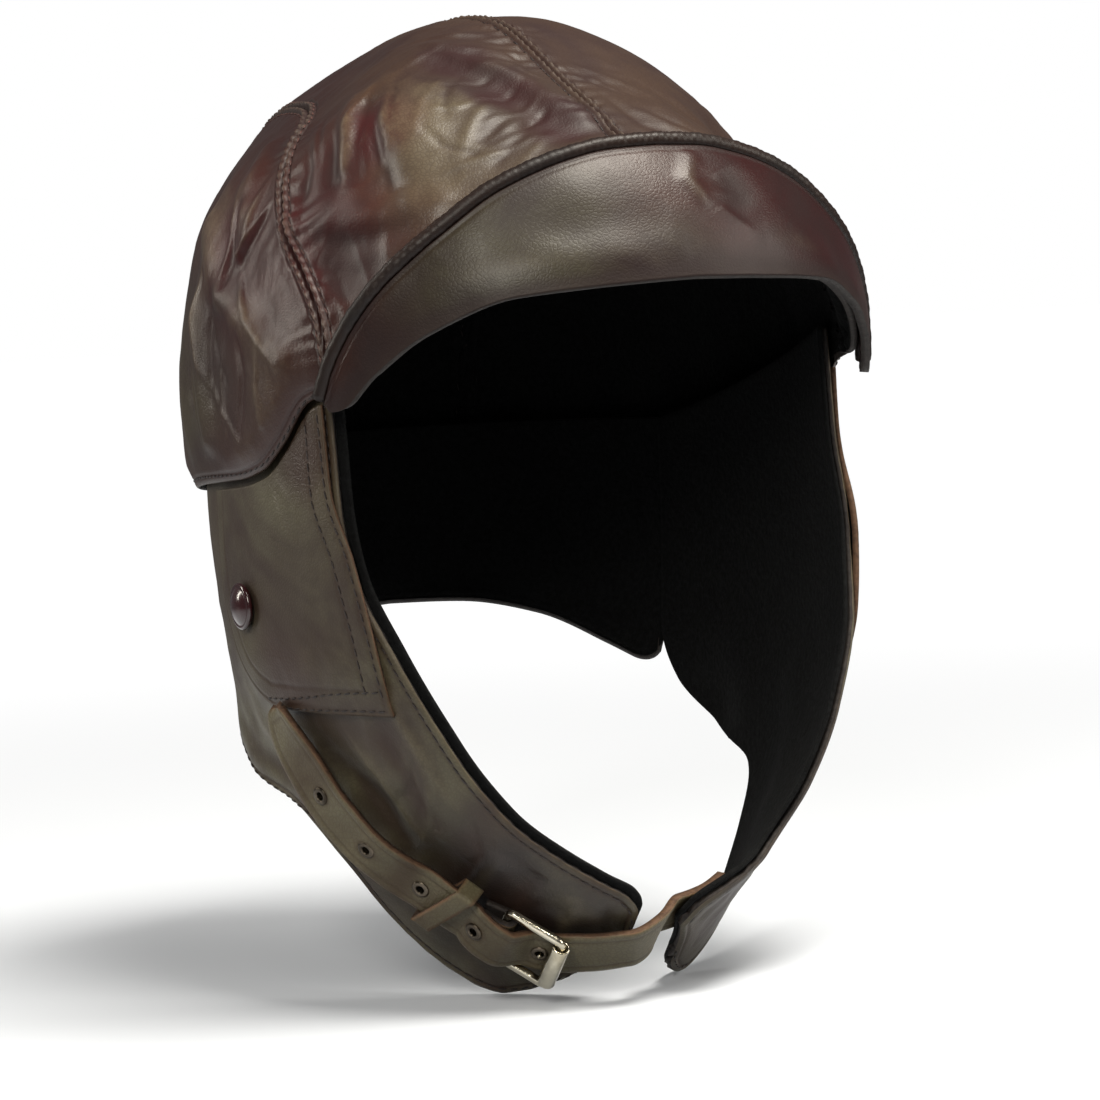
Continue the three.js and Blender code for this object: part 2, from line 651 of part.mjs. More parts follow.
// Round rod along a curve
function rod(extrudePath, thick, count, curveSegments) {
  const round = new THREE.Shape().absarc(0, 0, thick / 2, 0, 2 * Math.PI)
  const options = { steps: count, curveSegments, extrudePath, bevelEnabled: false }
  return new THREE.ExtrudeGeometry(round, options)
}

// Turns a geometry's +Z to an outward normal and moves it to a point
function seat(geometry, point, out) {
  const turn = new THREE.Quaternion().setFromUnitVectors(new THREE.Vector3(0, 0, 1), out)
  return geometry.applyQuaternion(turn).translate(...point.toArray())
}

function snap(side) {
  const radius = SNAP_WIDTH / 2
  const profile = [
    new THREE.Vector2(0, 0),
    new THREE.Vector2(radius * 0.94, 0),
    new THREE.Vector2(radius, SNAP_HEIGHT * 0.3),
    new THREE.Vector2(radius * 0.86, SNAP_HEIGHT * 0.72),
    new THREE.Vector2(radius * 0.5, SNAP_HEIGHT * 0.96),
    new THREE.Vector2(0, SNAP_HEIGHT),
  ]
  const cap = new THREE.LatheGeometry(profile, ROUND_SIDES).rotateX(Math.PI / 2)
  const out = normalOf(skin, side * SNAP_AZIMUTH, SNAP_DROP, 0.5, 0.004)
  const point = skin(side * SNAP_AZIMUTH, SNAP_DROP)
  if (out.x * side < 0) out.negate()
  return seat(cap, point.addScaledVector(out, PATCH_WALL + 4 * CLEAR), out)
}

// Chin strap

// The strap's rows placed by their length along the leather
const strapRows = STRAP.map((row) => ({ ...row }))
strapRows.forEach((row, i) => {
  const before = strapRows[i - 1]
  row.at = 0
  if (i > 0) row.at = before.at + skin(row.azimuth, row.drop).distanceTo(skin(before.azimuth, before.drop))
})
const ROLLER_AT = strapRows[ROLLER_ROW].at
const HEEL_AT = ROLLER_AT + FRAME_LENGTH
const KEEPER_AT = HEEL_AT + CHAPE_TAIL + 1.5 * KEEPER_WIDTH
const TAIL_AT = ROLLER_AT + TAIL_REACH

// Height of the strap's middle: inside one flap, under the roller, over the heel bar and the chape,
// through the keeper and away to the tail
const strapHeights = [
  { at: 0, height: INSIDE },
  { at: strapRows[LEAVES_ROW].at, height: INSIDE },
  { at: strapRows[ARRIVES_ROW].at, height: UNDER_ROLLER },
  { at: ROLLER_AT + 1.5 * FIRST_HOLE, height: UNDER_ROLLER },
  { at: HEEL_AT - FRAME_BAR / 2, height: OVER_HEEL },
  { at: HEEL_AT + FRAME_BAR, height: OVER_HEEL },
  { at: HEEL_AT + CHAPE_TAIL, height: OVER_CHAPE },
  { at: KEEPER_AT - KEEPER_WIDTH, height: IN_KEEPER },
  { at: KEEPER_AT + KEEPER_WIDTH, height: IN_KEEPER },
  { at: KEEPER_AT + 3 * KEEPER_WIDTH, height: TAIL_STAND },
  { at: TAIL_AT - 2 * HOLE_PITCH, height: TAIL_STAND },
  { at: TAIL_AT, height: OVER_PATCH },
]
const strapHeight = (at) => along(strapHeights, 'at', 'height', at)

const strapSkin = (at) => skin(along(strapRows, 'at', 'azimuth', at), along(strapRows, 'at', 'drop', at))

// Place, direction, width and outward axes on the leather under the strap
function station(at) {
  const azimuth = along(strapRows, 'at', 'azimuth', at)
  const drop = along(strapRows, 'at', 'drop', at)
  const out = normalOf(skin, azimuth, drop, 1.5, 0.01)
  if (out.dot(direction(azimuth, 0)) < 0) out.negate()
  const ahead = strapSkin(at + 1.5).sub(strapSkin(at - 1.5)).normalize()
  const across = out.clone().cross(ahead).normalize()
  return { point: strapSkin(at), ahead, across, out: ahead.clone().cross(across) }
}

const strapMiddle = (at) => {
  const here = station(at)
  return here.point.addScaledVector(here.out, strapHeight(at))
}

// Axes of the strap itself, which rises and falls over the leather
function strapFrame(at) {
  const { across } = station(at)
  const ahead = strapMiddle(at + 1).sub(strapMiddle(at - 1)).normalize()
  const side = across.addScaledVector(ahead, -across.dot(ahead)).normalize()
  return { point: strapMiddle(at), ahead, across: side, out: ahead.clone().cross(side) }
}

const holePlaces = steps(HOLES - 1).map((_, i) => ROLLER_AT + FIRST_HOLE + i * HOLE_PITCH)

function halfWidth(at) {
  const left = clamp((TAIL_AT - at) / TAIL_POINT, 0, 1)
  return (STRAP_WIDTH / 2) * lerp(0.22, 1, Math.sqrt(1 - (1 - left) ** 2))
}

function chinStrap() {
  const surface = (at, w) => {
    const frame = strapFrame(at)
    return frame.point.addScaledVector(frame.across, w * halfWidth(at))
  }
  const places = steps(STRAP_STEPS, 0, TAIL_AT - TAIL_POINT)
  places.push(...steps(TAIL_STEPS, TAIL_AT - TAIL_POINT, TAIL_AT).slice(1))
  const ribbon = wall(surface, places, [-1, 0, 1], HALF_STRAP, -HALF_STRAP)
  let solid = toSolid(ribbon)
  for (const at of holePlaces) {
    const { point, out } = strapFrame(at)
    const drill = new THREE.CylinderGeometry(1, 1, 4 * STRAP_WALL, EYELET_SIDES).rotateX(Math.PI / 2)
    const radius = EYELET_BORE / 2 + EYELET_WALL + CLEAR
    drill.scale(radius, radius, 1)
    solid = solid.subtract(toSolid(seat(drill, point, out)))
  }
  return fromSolid(solid)
}

function eyelet(at) {
  const bore = EYELET_BORE / 2
  const low = -HALF_STRAP
  const high = HALF_STRAP + EYELET_RISE
  const profile = [
    new THREE.Vector2(bore, low),
    new THREE.Vector2(bore + EYELET_WALL, low),
    new THREE.Vector2(bore + EYELET_WALL, high),
    new THREE.Vector2(bore, high),
    new THREE.Vector2(bore, low),
  ]
  const ring = new THREE.LatheGeometry(profile, EYELET_SIDES).rotateX(Math.PI / 2)
  const { point, out } = strapFrame(at)
  return seat(ring, point, out)
}

// Roller buckle on its leather chape

// Axes of the rigid frame, from the heel bar up to the roller
const heel = station(HEEL_AT)
const front = station(ROLLER_AT)
const heelAxis = heel.point.clone().addScaledVector(heel.out, HEEL_HEIGHT)
const rollerAxis = front.point.clone().addScaledVector(front.out, ROLLER_HEIGHT)
const reach = rollerAxis.clone().sub(heelAxis)
const frameLength = reach.length()
const frameAhead = reach.clone().normalize()
const frameAcross = heel.across.clone().add(front.across)
frameAcross.addScaledVector(frameAhead, -frameAcross.dot(frameAhead)).normalize()
const frameOut = frameAhead.clone().cross(frameAcross)
if (frameOut.dot(heel.out) < 0) {
  frameAcross.negate()
  frameOut.negate()
}
const buckleMatrix = new THREE.Matrix4().makeBasis(frameAhead, frameAcross, frameOut).setPosition(heelAxis)

function roundedRectangle(shape, left, bottom, right, top, radius) {
  shape.moveTo(left + radius, bottom)
  shape.lineTo(right - radius, bottom)
  shape.absarc(right - radius, bottom + radius, radius, -Math.PI / 2, 0)
  shape.lineTo(right, top - radius)
  shape.absarc(right - radius, top - radius, radius, 0, Math.PI / 2)
  shape.lineTo(left + radius, top)
  shape.absarc(left + radius, top - radius, radius, Math.PI / 2, Math.PI)
  shape.lineTo(left, bottom + radius)
  shape.absarc(left + radius, bottom + radius, radius, Math.PI, 1.5 * Math.PI)
  return shape
}

function buckleFrame() {
  const bevel = FRAME_BAR * 0.3
  const inside = STRAP_WIDTH / 2 + FRAME_EASE + bevel
  const outside = STRAP_WIDTH / 2 + FRAME_EASE + FRAME_BAR - bevel
  const near = FRAME_BAR / 2 - bevel
  const shape = roundedRectangle(new THREE.Shape(), -near, -outside, frameLength + near, outside, near)
  const gap = roundedRectangle(new THREE.Path(), near, -inside, frameLength - near, inside, near)
  shape.holes.push(gap)
  const edges = { bevelThickness: bevel, bevelSize: bevel, bevelSegments: 1, curveSegments: 2 }
  const loop = new THREE.ExtrudeGeometry(shape, { depth: FRAME_BAR - 2 * bevel, ...edges })
  return loop.translate(0, 0, bevel - FRAME_BAR / 2).applyMatrix4(buckleMatrix)
}

function buckleRoller() {
  const half = STRAP_WIDTH / 2 + FRAME_EASE - CLEAR
  const profile = [
    new THREE.Vector2(ROLLER_BORE / 2, -half),
    new THREE.Vector2(ROLLER_WIDTH / 2, -half),
    new THREE.Vector2(ROLLER_WIDTH / 2, half),
    new THREE.Vector2(ROLLER_BORE / 2, half),
    new THREE.Vector2(ROLLER_BORE / 2, -half),
  ]
  const sleeve = new THREE.LatheGeometry(profile, ROUND_SIDES)
  return sleeve.translate(frameLength, 0, 0).applyMatrix4(buckleMatrix)
}

// Point over the leather near the buckle: along is measured from the heel bar to the tail
function overLeather(along, across, height) {
  const here = station(HEEL_AT + along)
  return here.point.addScaledVector(here.across, across).addScaledVector(here.out, height)
}

// Hook round the heel bar, arm under the strap and tip up through its hole against the roller
function buckleProng() {
  const ring = FRAME_BAR / 2 + CLEAR + PRONG / 2
  const line = steps(8, 200, 20).map((angle) => {
    const turn = degToRad(angle)
    const point = heelAxis.clone().addScaledVector(heel.ahead, ring * Math.cos(turn))
    return point.addScaledVector(heel.out, ring * Math.sin(turn))
  })
  const under = PRONG / 2 + CLEAR
  const hole = FIRST_HOLE - FRAME_LENGTH
  line.unshift(overLeather(-5, 0, under), overLeather(-3.4, 0, under + 0.3))
  line.unshift(overLeather(hole + 1.2, 0, under), overLeather(hole * 0.65, 0, under))
  line.unshift(overLeather(hole, 0, UNDER_ROLLER + STRAP_WALL / 2 + 1.2), overLeather(hole, 0, under + 1.4))
  return rod(new THREE.CatmullRomCurve3(line, false, 'centripetal'), PRONG, PRONG_STEPS, 3)
}

// Leather that folds round the heel bar, slotted for the prong
function buckleChape() {
  const rise = FRAME_BAR / 2 + CLEAR + CHAPE_WALL
  const loop = new THREE.Shape()
  loop.moveTo(0, -rise)
  loop.lineTo(CHAPE_TAIL, -rise)
  loop.lineTo(CHAPE_TAIL, rise - CHAPE_WALL)
  loop.quadraticCurveTo(CHAPE_TAIL * 0.4, rise, 0, rise)
  loop.absarc(0, 0, rise, Math.PI / 2, 1.5 * Math.PI)
  loop.holes.push(new THREE.Path().absarc(0, 0, FRAME_BAR / 2 + CLEAR, 0, 2 * Math.PI))
  const width = STRAP_WIDTH - 2 * CLEAR
  const block = new THREE.ExtrudeGeometry(loop, { depth: width, bevelEnabled: false, curveSegments: 6 })
  block.translate(0, 0, -width / 2)
  const slot = PRONG + 4 * CLEAR
  const ring = FRAME_BAR / 2 + CLEAR + PRONG
  const deep = ring + 3 * CLEAR
  const cut = new THREE.BoxGeometry(rise + deep, 4 * rise, slot).translate((deep - rise) / 2, 0, 0)
  const out = heel.out.clone().addScaledVector(frameAcross, -heel.out.dot(frameAcross)).normalize()
  const sideways = frameAcross.clone()
  if (out.clone().cross(sideways).dot(heel.ahead) < 0) sideways.negate()
  const basis = new THREE.Matrix4().makeBasis(out.clone().cross(sideways), out, sideways)
  return fromSolid(toSolid(block).subtract(toSolid(cut))).applyMatrix4(basis.setPosition(heelAxis))
}

// Leather loop that holds the strap's tail down
function keeper() {
  const frame = strapFrame(KEEPER_AT)
  const half = STRAP_WIDTH / 2 + 2 * CLEAR
  const high = HALF_STRAP + 3 * CLEAR
  const wide = half + KEEPER_WALL
  const tall = high + KEEPER_WALL
  const outer = roundedRectangle(new THREE.Shape(), -wide, -tall, wide, tall, KEEPER_WALL)
  outer.holes.push(roundedRectangle(new THREE.Path(), -half, -high, half, high, 3 * CLEAR))
  const options = { depth: KEEPER_WIDTH, bevelEnabled: false, curveSegments: 2 }
  const loop = new THREE.ExtrudeGeometry(outer, options).translate(0, 0, -KEEPER_WIDTH / 2)
  const lean = Math.tan(degToRad(KEEPER_SKEW))
  const shear = new THREE.Matrix4().set(1, 0, 0, 0, 0, 1, 0, 0, lean, 0, 1, 0, 0, 0, 0, 1)
  const back = frame.across.clone().cross(frame.out)
  const basis = new THREE.Matrix4().makeBasis(frame.across, frame.out, back)
  return loop.applyMatrix4(shear).applyMatrix4(basis.setPosition(frame.point))
}

// The pieces of each side
for (const [name, side] of [['right', -1], ['left', 1]]) {
  add(`crown_top_${name}`, crownTop(side), crownLeather)
  add(`crown_side_${name}`, crownSide(side), crownLeather)
  const flap = wall(flapSurface(side), steps(FLAP_STEPS), steps(FLAP_BANDS), 0, -LEATHER)
  add(`ear_flap_${name}`, flap, flapLeather)
  add(`flap_lining_${name}`, lining(side), fleece)
  add(`ear_patch_${name}`, patch(side), flapLeather)
  add(`snap_${name}`, snap(side), snapPaint)
}

add('neck_guard', neckGuard(), flapLeather)
const peakSurface = (u, v) => peakPoint(lerp(-PEAK_END, PEAK_END, u), v)
add('peak', wall(peakSurface, steps(PEAK_STEPS), steps(PEAK_BANDS), 0, -PEAK_WALL), peakLeather)
add('peak_binding', peakBinding(), edging)

add('chin_strap', chinStrap(), strapLeather)
holePlaces.forEach((at, i) => add(`eyelet_${i + 1}`, eyelet(at), darkMetal))
add('buckle_frame', buckleFrame(), nickel)
add('buckle_roller', buckleRoller(), nickel)
add('buckle_prong', buckleProng(), nickel)
add('buckle_chape', buckleChape(), strapLeather)
add('keeper_loop', keeper(), strapLeather)

export default helmet
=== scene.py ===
import math

import bmesh
import bpy
import numpy as np
from mathutils import Matrix, Vector, noise


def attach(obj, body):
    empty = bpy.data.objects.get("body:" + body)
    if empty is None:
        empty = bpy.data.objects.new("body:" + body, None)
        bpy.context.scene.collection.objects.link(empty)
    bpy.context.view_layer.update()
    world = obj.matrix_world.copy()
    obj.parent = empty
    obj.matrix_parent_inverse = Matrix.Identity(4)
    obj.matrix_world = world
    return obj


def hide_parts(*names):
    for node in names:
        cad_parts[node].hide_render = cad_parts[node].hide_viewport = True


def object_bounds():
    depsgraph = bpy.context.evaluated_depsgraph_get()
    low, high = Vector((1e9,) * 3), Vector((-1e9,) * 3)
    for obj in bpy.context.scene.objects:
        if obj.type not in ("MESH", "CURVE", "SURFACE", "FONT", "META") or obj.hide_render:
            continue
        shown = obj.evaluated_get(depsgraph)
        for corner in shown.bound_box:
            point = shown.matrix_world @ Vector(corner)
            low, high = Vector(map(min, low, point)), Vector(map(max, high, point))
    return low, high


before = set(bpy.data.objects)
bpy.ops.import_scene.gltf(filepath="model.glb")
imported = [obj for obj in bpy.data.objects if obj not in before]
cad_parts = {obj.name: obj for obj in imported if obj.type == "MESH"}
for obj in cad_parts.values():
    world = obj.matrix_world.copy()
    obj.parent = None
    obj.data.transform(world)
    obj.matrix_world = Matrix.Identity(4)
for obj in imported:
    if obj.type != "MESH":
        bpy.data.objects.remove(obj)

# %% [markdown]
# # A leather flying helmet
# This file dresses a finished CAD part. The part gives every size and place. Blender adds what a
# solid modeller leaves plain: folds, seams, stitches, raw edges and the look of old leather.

cad_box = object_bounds()
MM = 0.001
print("the part measures", [round(float(high - low) / MM) for low, high in zip(*cad_box)], "mm")

# %% [markdown]
# ## Camera
# A product photograph of a hat is taken from far off with a long lens, so that the near side isn't
# swollen. The camera is placed first, by its angles round the helmet, because every later picture
# is judged through it. A small roll stands for a camera that was not held quite level.

# %% Camera
VIEW_AZIMUTH = math.radians(-27)
VIEW_ELEVATION = math.radians(4.5)
VIEW_ROLL = math.radians(-3)
VIEW_DISTANCE = 1.2
VIEW_WIDTH = 0.301
VIEW_AIM = Vector((0.0056, -0.0029, -0.1472))


def camera_axes(azimuth, elevation, roll):
    back = Vector((math.sin(azimuth) * math.cos(elevation),
                   -math.cos(azimuth) * math.cos(elevation), math.sin(elevation)))
    right = Vector((math.cos(azimuth), math.sin(azimuth), 0))
    up = back.cross(right)
    turn = Matrix.Rotation(roll, 3, back)
    return turn @ right, turn @ up, back


right, up, back = camera_axes(VIEW_AZIMUTH, VIEW_ELEVATION, VIEW_ROLL)
camera = bpy.data.objects.new("camera", bpy.data.cameras.new("camera"))
bpy.context.scene.collection.objects.link(camera)
camera.data.sensor_width = 36
camera.data.lens = camera.data.sensor_width * VIEW_DISTANCE / VIEW_WIDTH
camera.matrix_world = Matrix.Translation(VIEW_AIM + back * VIEW_DISTANCE) @ Matrix(
    (right, up, back)).transposed().to_4x4()
bpy.context.scene.camera = camera
print("lens", round(camera.data.lens), "mm at", round(VIEW_DISTANCE, 2), "m")

# %% [markdown]
# ## The helmet's form as a formula
# The leather follows two simple forms: a dome for the crown, and level sections round the jaw. The
# part was made from short tables of such sections, and the same tables are kept here, so that a
# fine mesh can be laid exactly where the coarse solid is. Curves through a table are cubics that
# never overshoot, which keeps the leather from bulging between two rows.

# %% Sizes of the whole helmet, in millimetres
# Its height and width, how far the crown reaches to the brow, to the nape and to the top, the wall
# of its leather, and the gap that two pieces keep
HEIGHT = 266
CROWN_WIDTH = 174
BROW = 104
NAPE = 110
DOME = 100
LEATHER = 1.8
CLEAR = 0.3


# %% Tables of sections, with named columns
def table(names, *rows):
    return dict(zip(names.split(), np.array(rows, float).T))


# Level sections at each drop: shares of the crown's width, brow and nape, and how square they are
JAW = table(
    "drop wide fore aft square",
    (0.25, 0.92, 0.98, 0.945, 2.15),
    (0.406, 0.925, 0.971, 0.936, 2.15),
    (0.519, 0.937, 0.952, 0.9, 2.15),
    (0.632, 0.931, 0.933, 0.827, 2.1),
    (0.726, 0.874, 0.904, 0.764, 2),
    (0.801, 0.805, 0.856, 0.709, 1.8),
    (0.865, 0.713, 0.769, 0.636, 1.6),
    (0.932, 0.598, 0.606, 0.545, 1.6),
    (0.996, 0.483, 0.404, 0.455, 1.7),
    (1.045, 0.391, 0.288, 0.364, 1.8),
)
# The edges of a flap, as azimuth and drop. The strap draws the left flap askew: its front edge goes
# back by pull, and its back edge comes forward by tuck.
FLAP = table(
    "down front front_drop back back_drop pull tuck",
    (0, 62, 0.346, 125, 0.444, 0, 0),
    (0.08, 61, 0.421, 125, 0.519, 0, 0),
    (0.17, 60, 0.481, 125, 0.594, 1, 0),
    (0.26, 57, 0.556, 125, 0.662, 3, 0),
    (0.35, 50, 0.632, 121, 0.729, 6, 0),
    (0.44, 44, 0.699, 108, 0.776, 7, 0),
    (0.53, 38, 0.759, 91, 0.806, 9, 0),
    (0.62, 31, 0.808, 83, 0.857, 12, 0),
    (0.71, 23, 0.842, 77, 0.91, 16, 2),
    (0.8, 15, 0.868, 66, 0.959, 17, 8),
    (0.88, 9, 0.887, 45, 0.993, 9, 9),
    (0.95, 6.5, 0.906, 22, 0.977, 3, 3),
    (1, 6.5, 0.925, 13, 0.957, 0.5, 0),
)
print("tables of", len(JAW["drop"]), "jaw sections and", len(FLAP["down"]), "flap stations")


# %% Curves, directions and folds
def along(rows, place, column, at):
    x, y = rows[place], rows[column]
    at = np.asarray(at, float)
    slope = np.diff(y) / np.diff(x)
    both = slope[:-1] * slope[1:]
    level = np.where(both > 0, 2 * both / np.where(both > 0, slope[:-1] + slope[1:], 1), 0)
    lean = np.concatenate((slope[:1], level, slope[-1:]))
    i = np.clip(np.searchsorted(x, at) - 1, 0, len(x) - 2)
    span = x[i + 1] - x[i]
    t = (at - x[i]) / span
    start = y[i] * (1 + 2 * t) * (1 - t) ** 2 + lean[i] * span * t * (1 - t) ** 2
    end = y[i + 1] * t * t * (3 - 2 * t) + lean[i + 1] * span * t * t * (t - 1)
    before = y[i] + lean[i] * t * span
    after = y[i + 1] + lean[i + 1] * (t - 1) * span
    return np.where(t < 0, before, np.where(t > 1, after, start + end))


def smooth(value, low, high):
    t = np.clip((value - low) / (high - low), 0, 1)
    return t * t * (3 - 2 * t)


def mix(a, b, t):
    return a + (b - a) * t


def vec(x, y, z):
    return np.stack(np.broadcast_arrays(x, y, z), -1).astype(float)


def size_of(points):
    return np.linalg.norm(points, axis=-1)


def unit(points):
    return points / size_of(points)[..., None]


def direction(azimuth, elevation):
    a, e = np.radians(azimuth), np.radians(elevation)
    return vec(np.sin(a) * np.cos(e), -np.cos(a) * np.cos(e), np.sin(e))


def azimuth_of(way):
    return np.degrees(np.arctan2(way[..., 0], -way[..., 1]))


def run_along(line):
    return np.concatenate(([0], np.cumsum(size_of(np.diff(line, axis=0)))))


def to_segment(points, start, end):
    line = end - start
    t = np.clip(((points - start) @ line) / (line @ line), 0, 1)
    return size_of(points - start - t[..., None] * line), t


def bump_at(gap, middle, width):
    return np.exp(-(((gap - middle) / width) ** 2))


def folds_on(place, *rows):
    return [(place(*start), place(*end), width, height) for start, end, width, height in rows]


def relief(points, folds):
    height = 0
    for start, end, width, fold in folds:
        gap, _ = to_segment(points, start, end)
        height = height + fold * DOME * bump_at(gap, 0, width * DOME)
    return height


# %% [markdown]
# ## Jaw and dome
# Below the brow the leather is one bent sheet, so a level section and a drop say where it is.
# Above it, the crown is cut full and puffs out. It is a dome with its big folds pressed in, tucked
# back to the flaps along its hem.

# %% Jaw sections and the leather over the cheeks
# The flaps' front edges flare out, over these azimuths and drops
GUARD_TOP = 0.444
FLARE_RIGHT = 0.008
FLARE_LEFT = 0.024
FLARE_REACH = 11
FLARE_AZIMUTHS = (4, 24)
FLARE_DROPS = (GUARD_TOP, 0.56)


def jaw_radius(azimuth, drop):
    shares = [along(JAW, "drop", column, drop) for column in ("wide", "fore", "aft", "square")]
    wide, fore, aft, power = shares
    ahead = np.cos(np.radians(azimuth))
    across = np.abs(np.sin(np.radians(azimuth))) / (wide * CROWN_WIDTH / 2)
    fore, aft = fore * BROW, aft * NAPE
    return (across**power + (np.abs(ahead) / np.where(ahead > 0, fore, aft)) ** power) ** (-1 / power)


def level_point(azimuth, drop, radius):
    a = np.radians(azimuth)
    return vec(radius * np.sin(a), -radius * np.cos(a), LEATHER - drop * HEIGHT)


def jaw_point(azimuth, drop):
    return level_point(azimuth, drop, jaw_radius(azimuth, drop))


# From and to, as azimuth and drop, with width and height as shares of DOME
FLAP_FOLDS = folds_on(
    jaw_point,
    ((-118, 0.745), (-110, 0.76), 0.13, 0.045),
    ((118, 0.745), (110, 0.76), 0.13, 0.045),
    ((-70, 0.735), (-50, 0.83), 0.09, -0.018),
    ((-52, 0.76), (-36, 0.85), 0.06, 0.012),
    ((75, 0.72), (58, 0.83), 0.1, -0.018),
    ((-104, 0.69), (-98, 0.75), 0.09, -0.016),
    ((104, 0.69), (98, 0.75), 0.09, -0.016),
)
print(len(FLAP_FOLDS), "folds in the flaps")


def skin(azimuth, drop):
    azimuth, drop = np.broadcast_arrays(np.asarray(azimuth, float), np.asarray(drop, float))
    left = azimuth > 0
    radius = jaw_radius(azimuth, drop)
    front = along(FLAP, "front_drop", "front", drop)
    front = front + np.where(left, along(FLAP, "front_drop", "pull", drop), 0)
    edge = np.radians(np.abs(azimuth) - front) * radius
    flare = np.where(left, FLARE_LEFT, FLARE_RIGHT) * DOME * bump_at(edge, 0, FLARE_REACH)
    free = smooth(np.abs(azimuth), *FLARE_AZIMUTHS) * smooth(drop, *FLARE_DROPS)
    fold = relief(level_point(azimuth, drop, radius), FLAP_FOLDS)
    return level_point(azimuth, drop, radius + flare * free + fold)


def normal_of(surface, u, v, du, dv):
    across = surface(u + du, v) - surface(u - du, v)
    down = surface(u, v + dv) - surface(u, v - dv)
    return unit(np.cross(across, down))


# %% Crown dome
# It narrows more slowly below its middle, and its forehead leans back
CROWN_TAPER = 170
CROWN_MIDDLE = LEATHER - DOME
BROW_SLOPE = 0.18
ROUNDNESS = 2.08


def dome_point(way):
    wide = np.abs(way[..., 0]) / (CROWN_WIDTH / 2)
    long = np.abs(way[..., 1]) / np.where(way[..., 1] < 0, BROW, NAPE)
    high = np.abs(way[..., 2]) / np.where(way[..., 2] > 0, DOME, CROWN_TAPER)
    radius = (wide**ROUNDNESS + long**ROUNDNESS + high**ROUNDNESS) ** (-1 / ROUNDNESS)
    point = way * radius[..., None]
    slope = 1 - BROW_SLOPE * np.clip(point[..., 2] / DOME, 0, 1) ** 2
    point[..., 1] = np.where(point[..., 1] < 0, point[..., 1] * slope, point[..., 1])
    return point


def dome_at(azimuth, elevation):
    return dome_point(direction(azimuth, elevation))


# From and to, as azimuth and elevation
CROWN_FOLDS = folds_on(
    dome_at,
    ((-26, 60), (-9, 44), 0.06, 0.02),
    ((-66, 47), (-47, 41), 0.13, 0.026),
    ((-60, 50), (-48, 32), 0.055, -0.022),
    ((-73, 50), (-61, 35), 0.05, -0.016),
    ((-70, 28), (-38, 28), 0.05, 0.014),
    ((-99, 44), (-87, 26), 0.055, 0.018),
    ((-108, 28), (-92, 17), 0.055, 0.02),
    ((-90, 16), (-70, 6), 0.05, 0.018),
    ((-82, 22), (-74, 12), 0.08, -0.016),
    ((-104, 14), (-100, -8), 0.05, 0.016),
    ((-117, 34), (-111, 0), 0.05, -0.02),
    ((19, 47), (27, 34), 0.08, 0.02),
    ((14, 60), (46, 42), 0.44, -0.12),
    ((-118, 62), (-96, 58), 0.26, -0.055),
    ((56, 45), (66, 24), 0.08, -0.018),
    ((96, 36), (88, 2), 0.07, 0.018),
    ((118, 32), (112, -4), 0.07, -0.016),
    ((150, 10), (146, -10), 0.07, -0.014),
    ((-150, 12), (-146, -10), 0.07, -0.014),
)
print(len(CROWN_FOLDS), "folds in the crown")

# %% Crown over the dome, with its hem
# The hem is tucked in over its last TUCK degrees, behind the peak's ends. Folds fade out under the
# turned-up peak, and come back over FOLD_FADE degrees above its edge.
TUCK = 8
TUCK_FROM = 54
TUCK_FULL = 62
PEAK_END = 57.5
FOLD_FADE = 7
HEM = table(
    "azimuth elevation",
    (0, 14.5), (12, 14), (26, 13.4), (39, 9.6), (48, 5), (56, 1), (65, -1.5), (73, -9),
    (80, -13.5), (90, -15.5), (110, -16.5), (140, -17.5), (181, -18),
)
PEAK_EDGE = table(
    "azimuth elevation",
    (0, 33), (8, 32.6), (16, 31.2), (27, 27.6), (35, 23), (44, 17), (50, 11.4), (55, 4.4), (58, -2.4),
)


def hem_elevation(azimuth):
    folded = np.where(np.abs(azimuth) > 180, 360 - np.abs(azimuth), np.abs(azimuth))
    return along(HEM, "azimuth", "elevation", folded)


def hem_radius(azimuth, elevation):
    radius = CROWN_WIDTH / 2
    for _ in range(4):
        drop = (LEATHER - CROWN_MIDDLE - radius * np.sin(np.radians(elevation))) / HEIGHT
        radius = (jaw_radius(azimuth, drop) + 2 * CLEAR + LEATHER) / np.cos(np.radians(elevation))
    return radius


def crown_point(way):
    azimuth = azimuth_of(way)
    elevation = np.degrees(np.arcsin(np.clip(way[..., 2], -1, 1)))
    point = dome_point(way)
    edge = along(PEAK_EDGE, "azimuth", "elevation", np.abs(azimuth))
    bare = np.where(np.abs(azimuth) > PEAK_END, 1, smooth(elevation, edge, edge + FOLD_FADE))
    radius = size_of(point) + relief(point, CROWN_FOLDS) * bare
    aside = smooth(np.abs(azimuth), TUCK_FROM, TUCK_FULL)
    near = elevation - hem_elevation(azimuth)
    free = np.sqrt(1 - (1 - np.clip(near / TUCK, 0, 1)) ** 2)
    tucked = mix(hem_radius(azimuth, elevation), radius, free)
    radius = np.where((aside > 0) & (near < TUCK), mix(radius, tucked, aside), radius)
    return unit(point) * radius[..., None] + np.array([0, 0, CROWN_MIDDLE])


def crown_at(azimuth, elevation):
    return crown_point(direction(azimuth, elevation))


# %% [markdown]
# ## Crown panels
# The crown is four panels: two over the top and one on each side. Each is a sheet between its
# seams, so it is laid out here as a square that is bent to its place. A grid with more columns
# near the seams has room for puckers there without wasting faces on smooth leather.

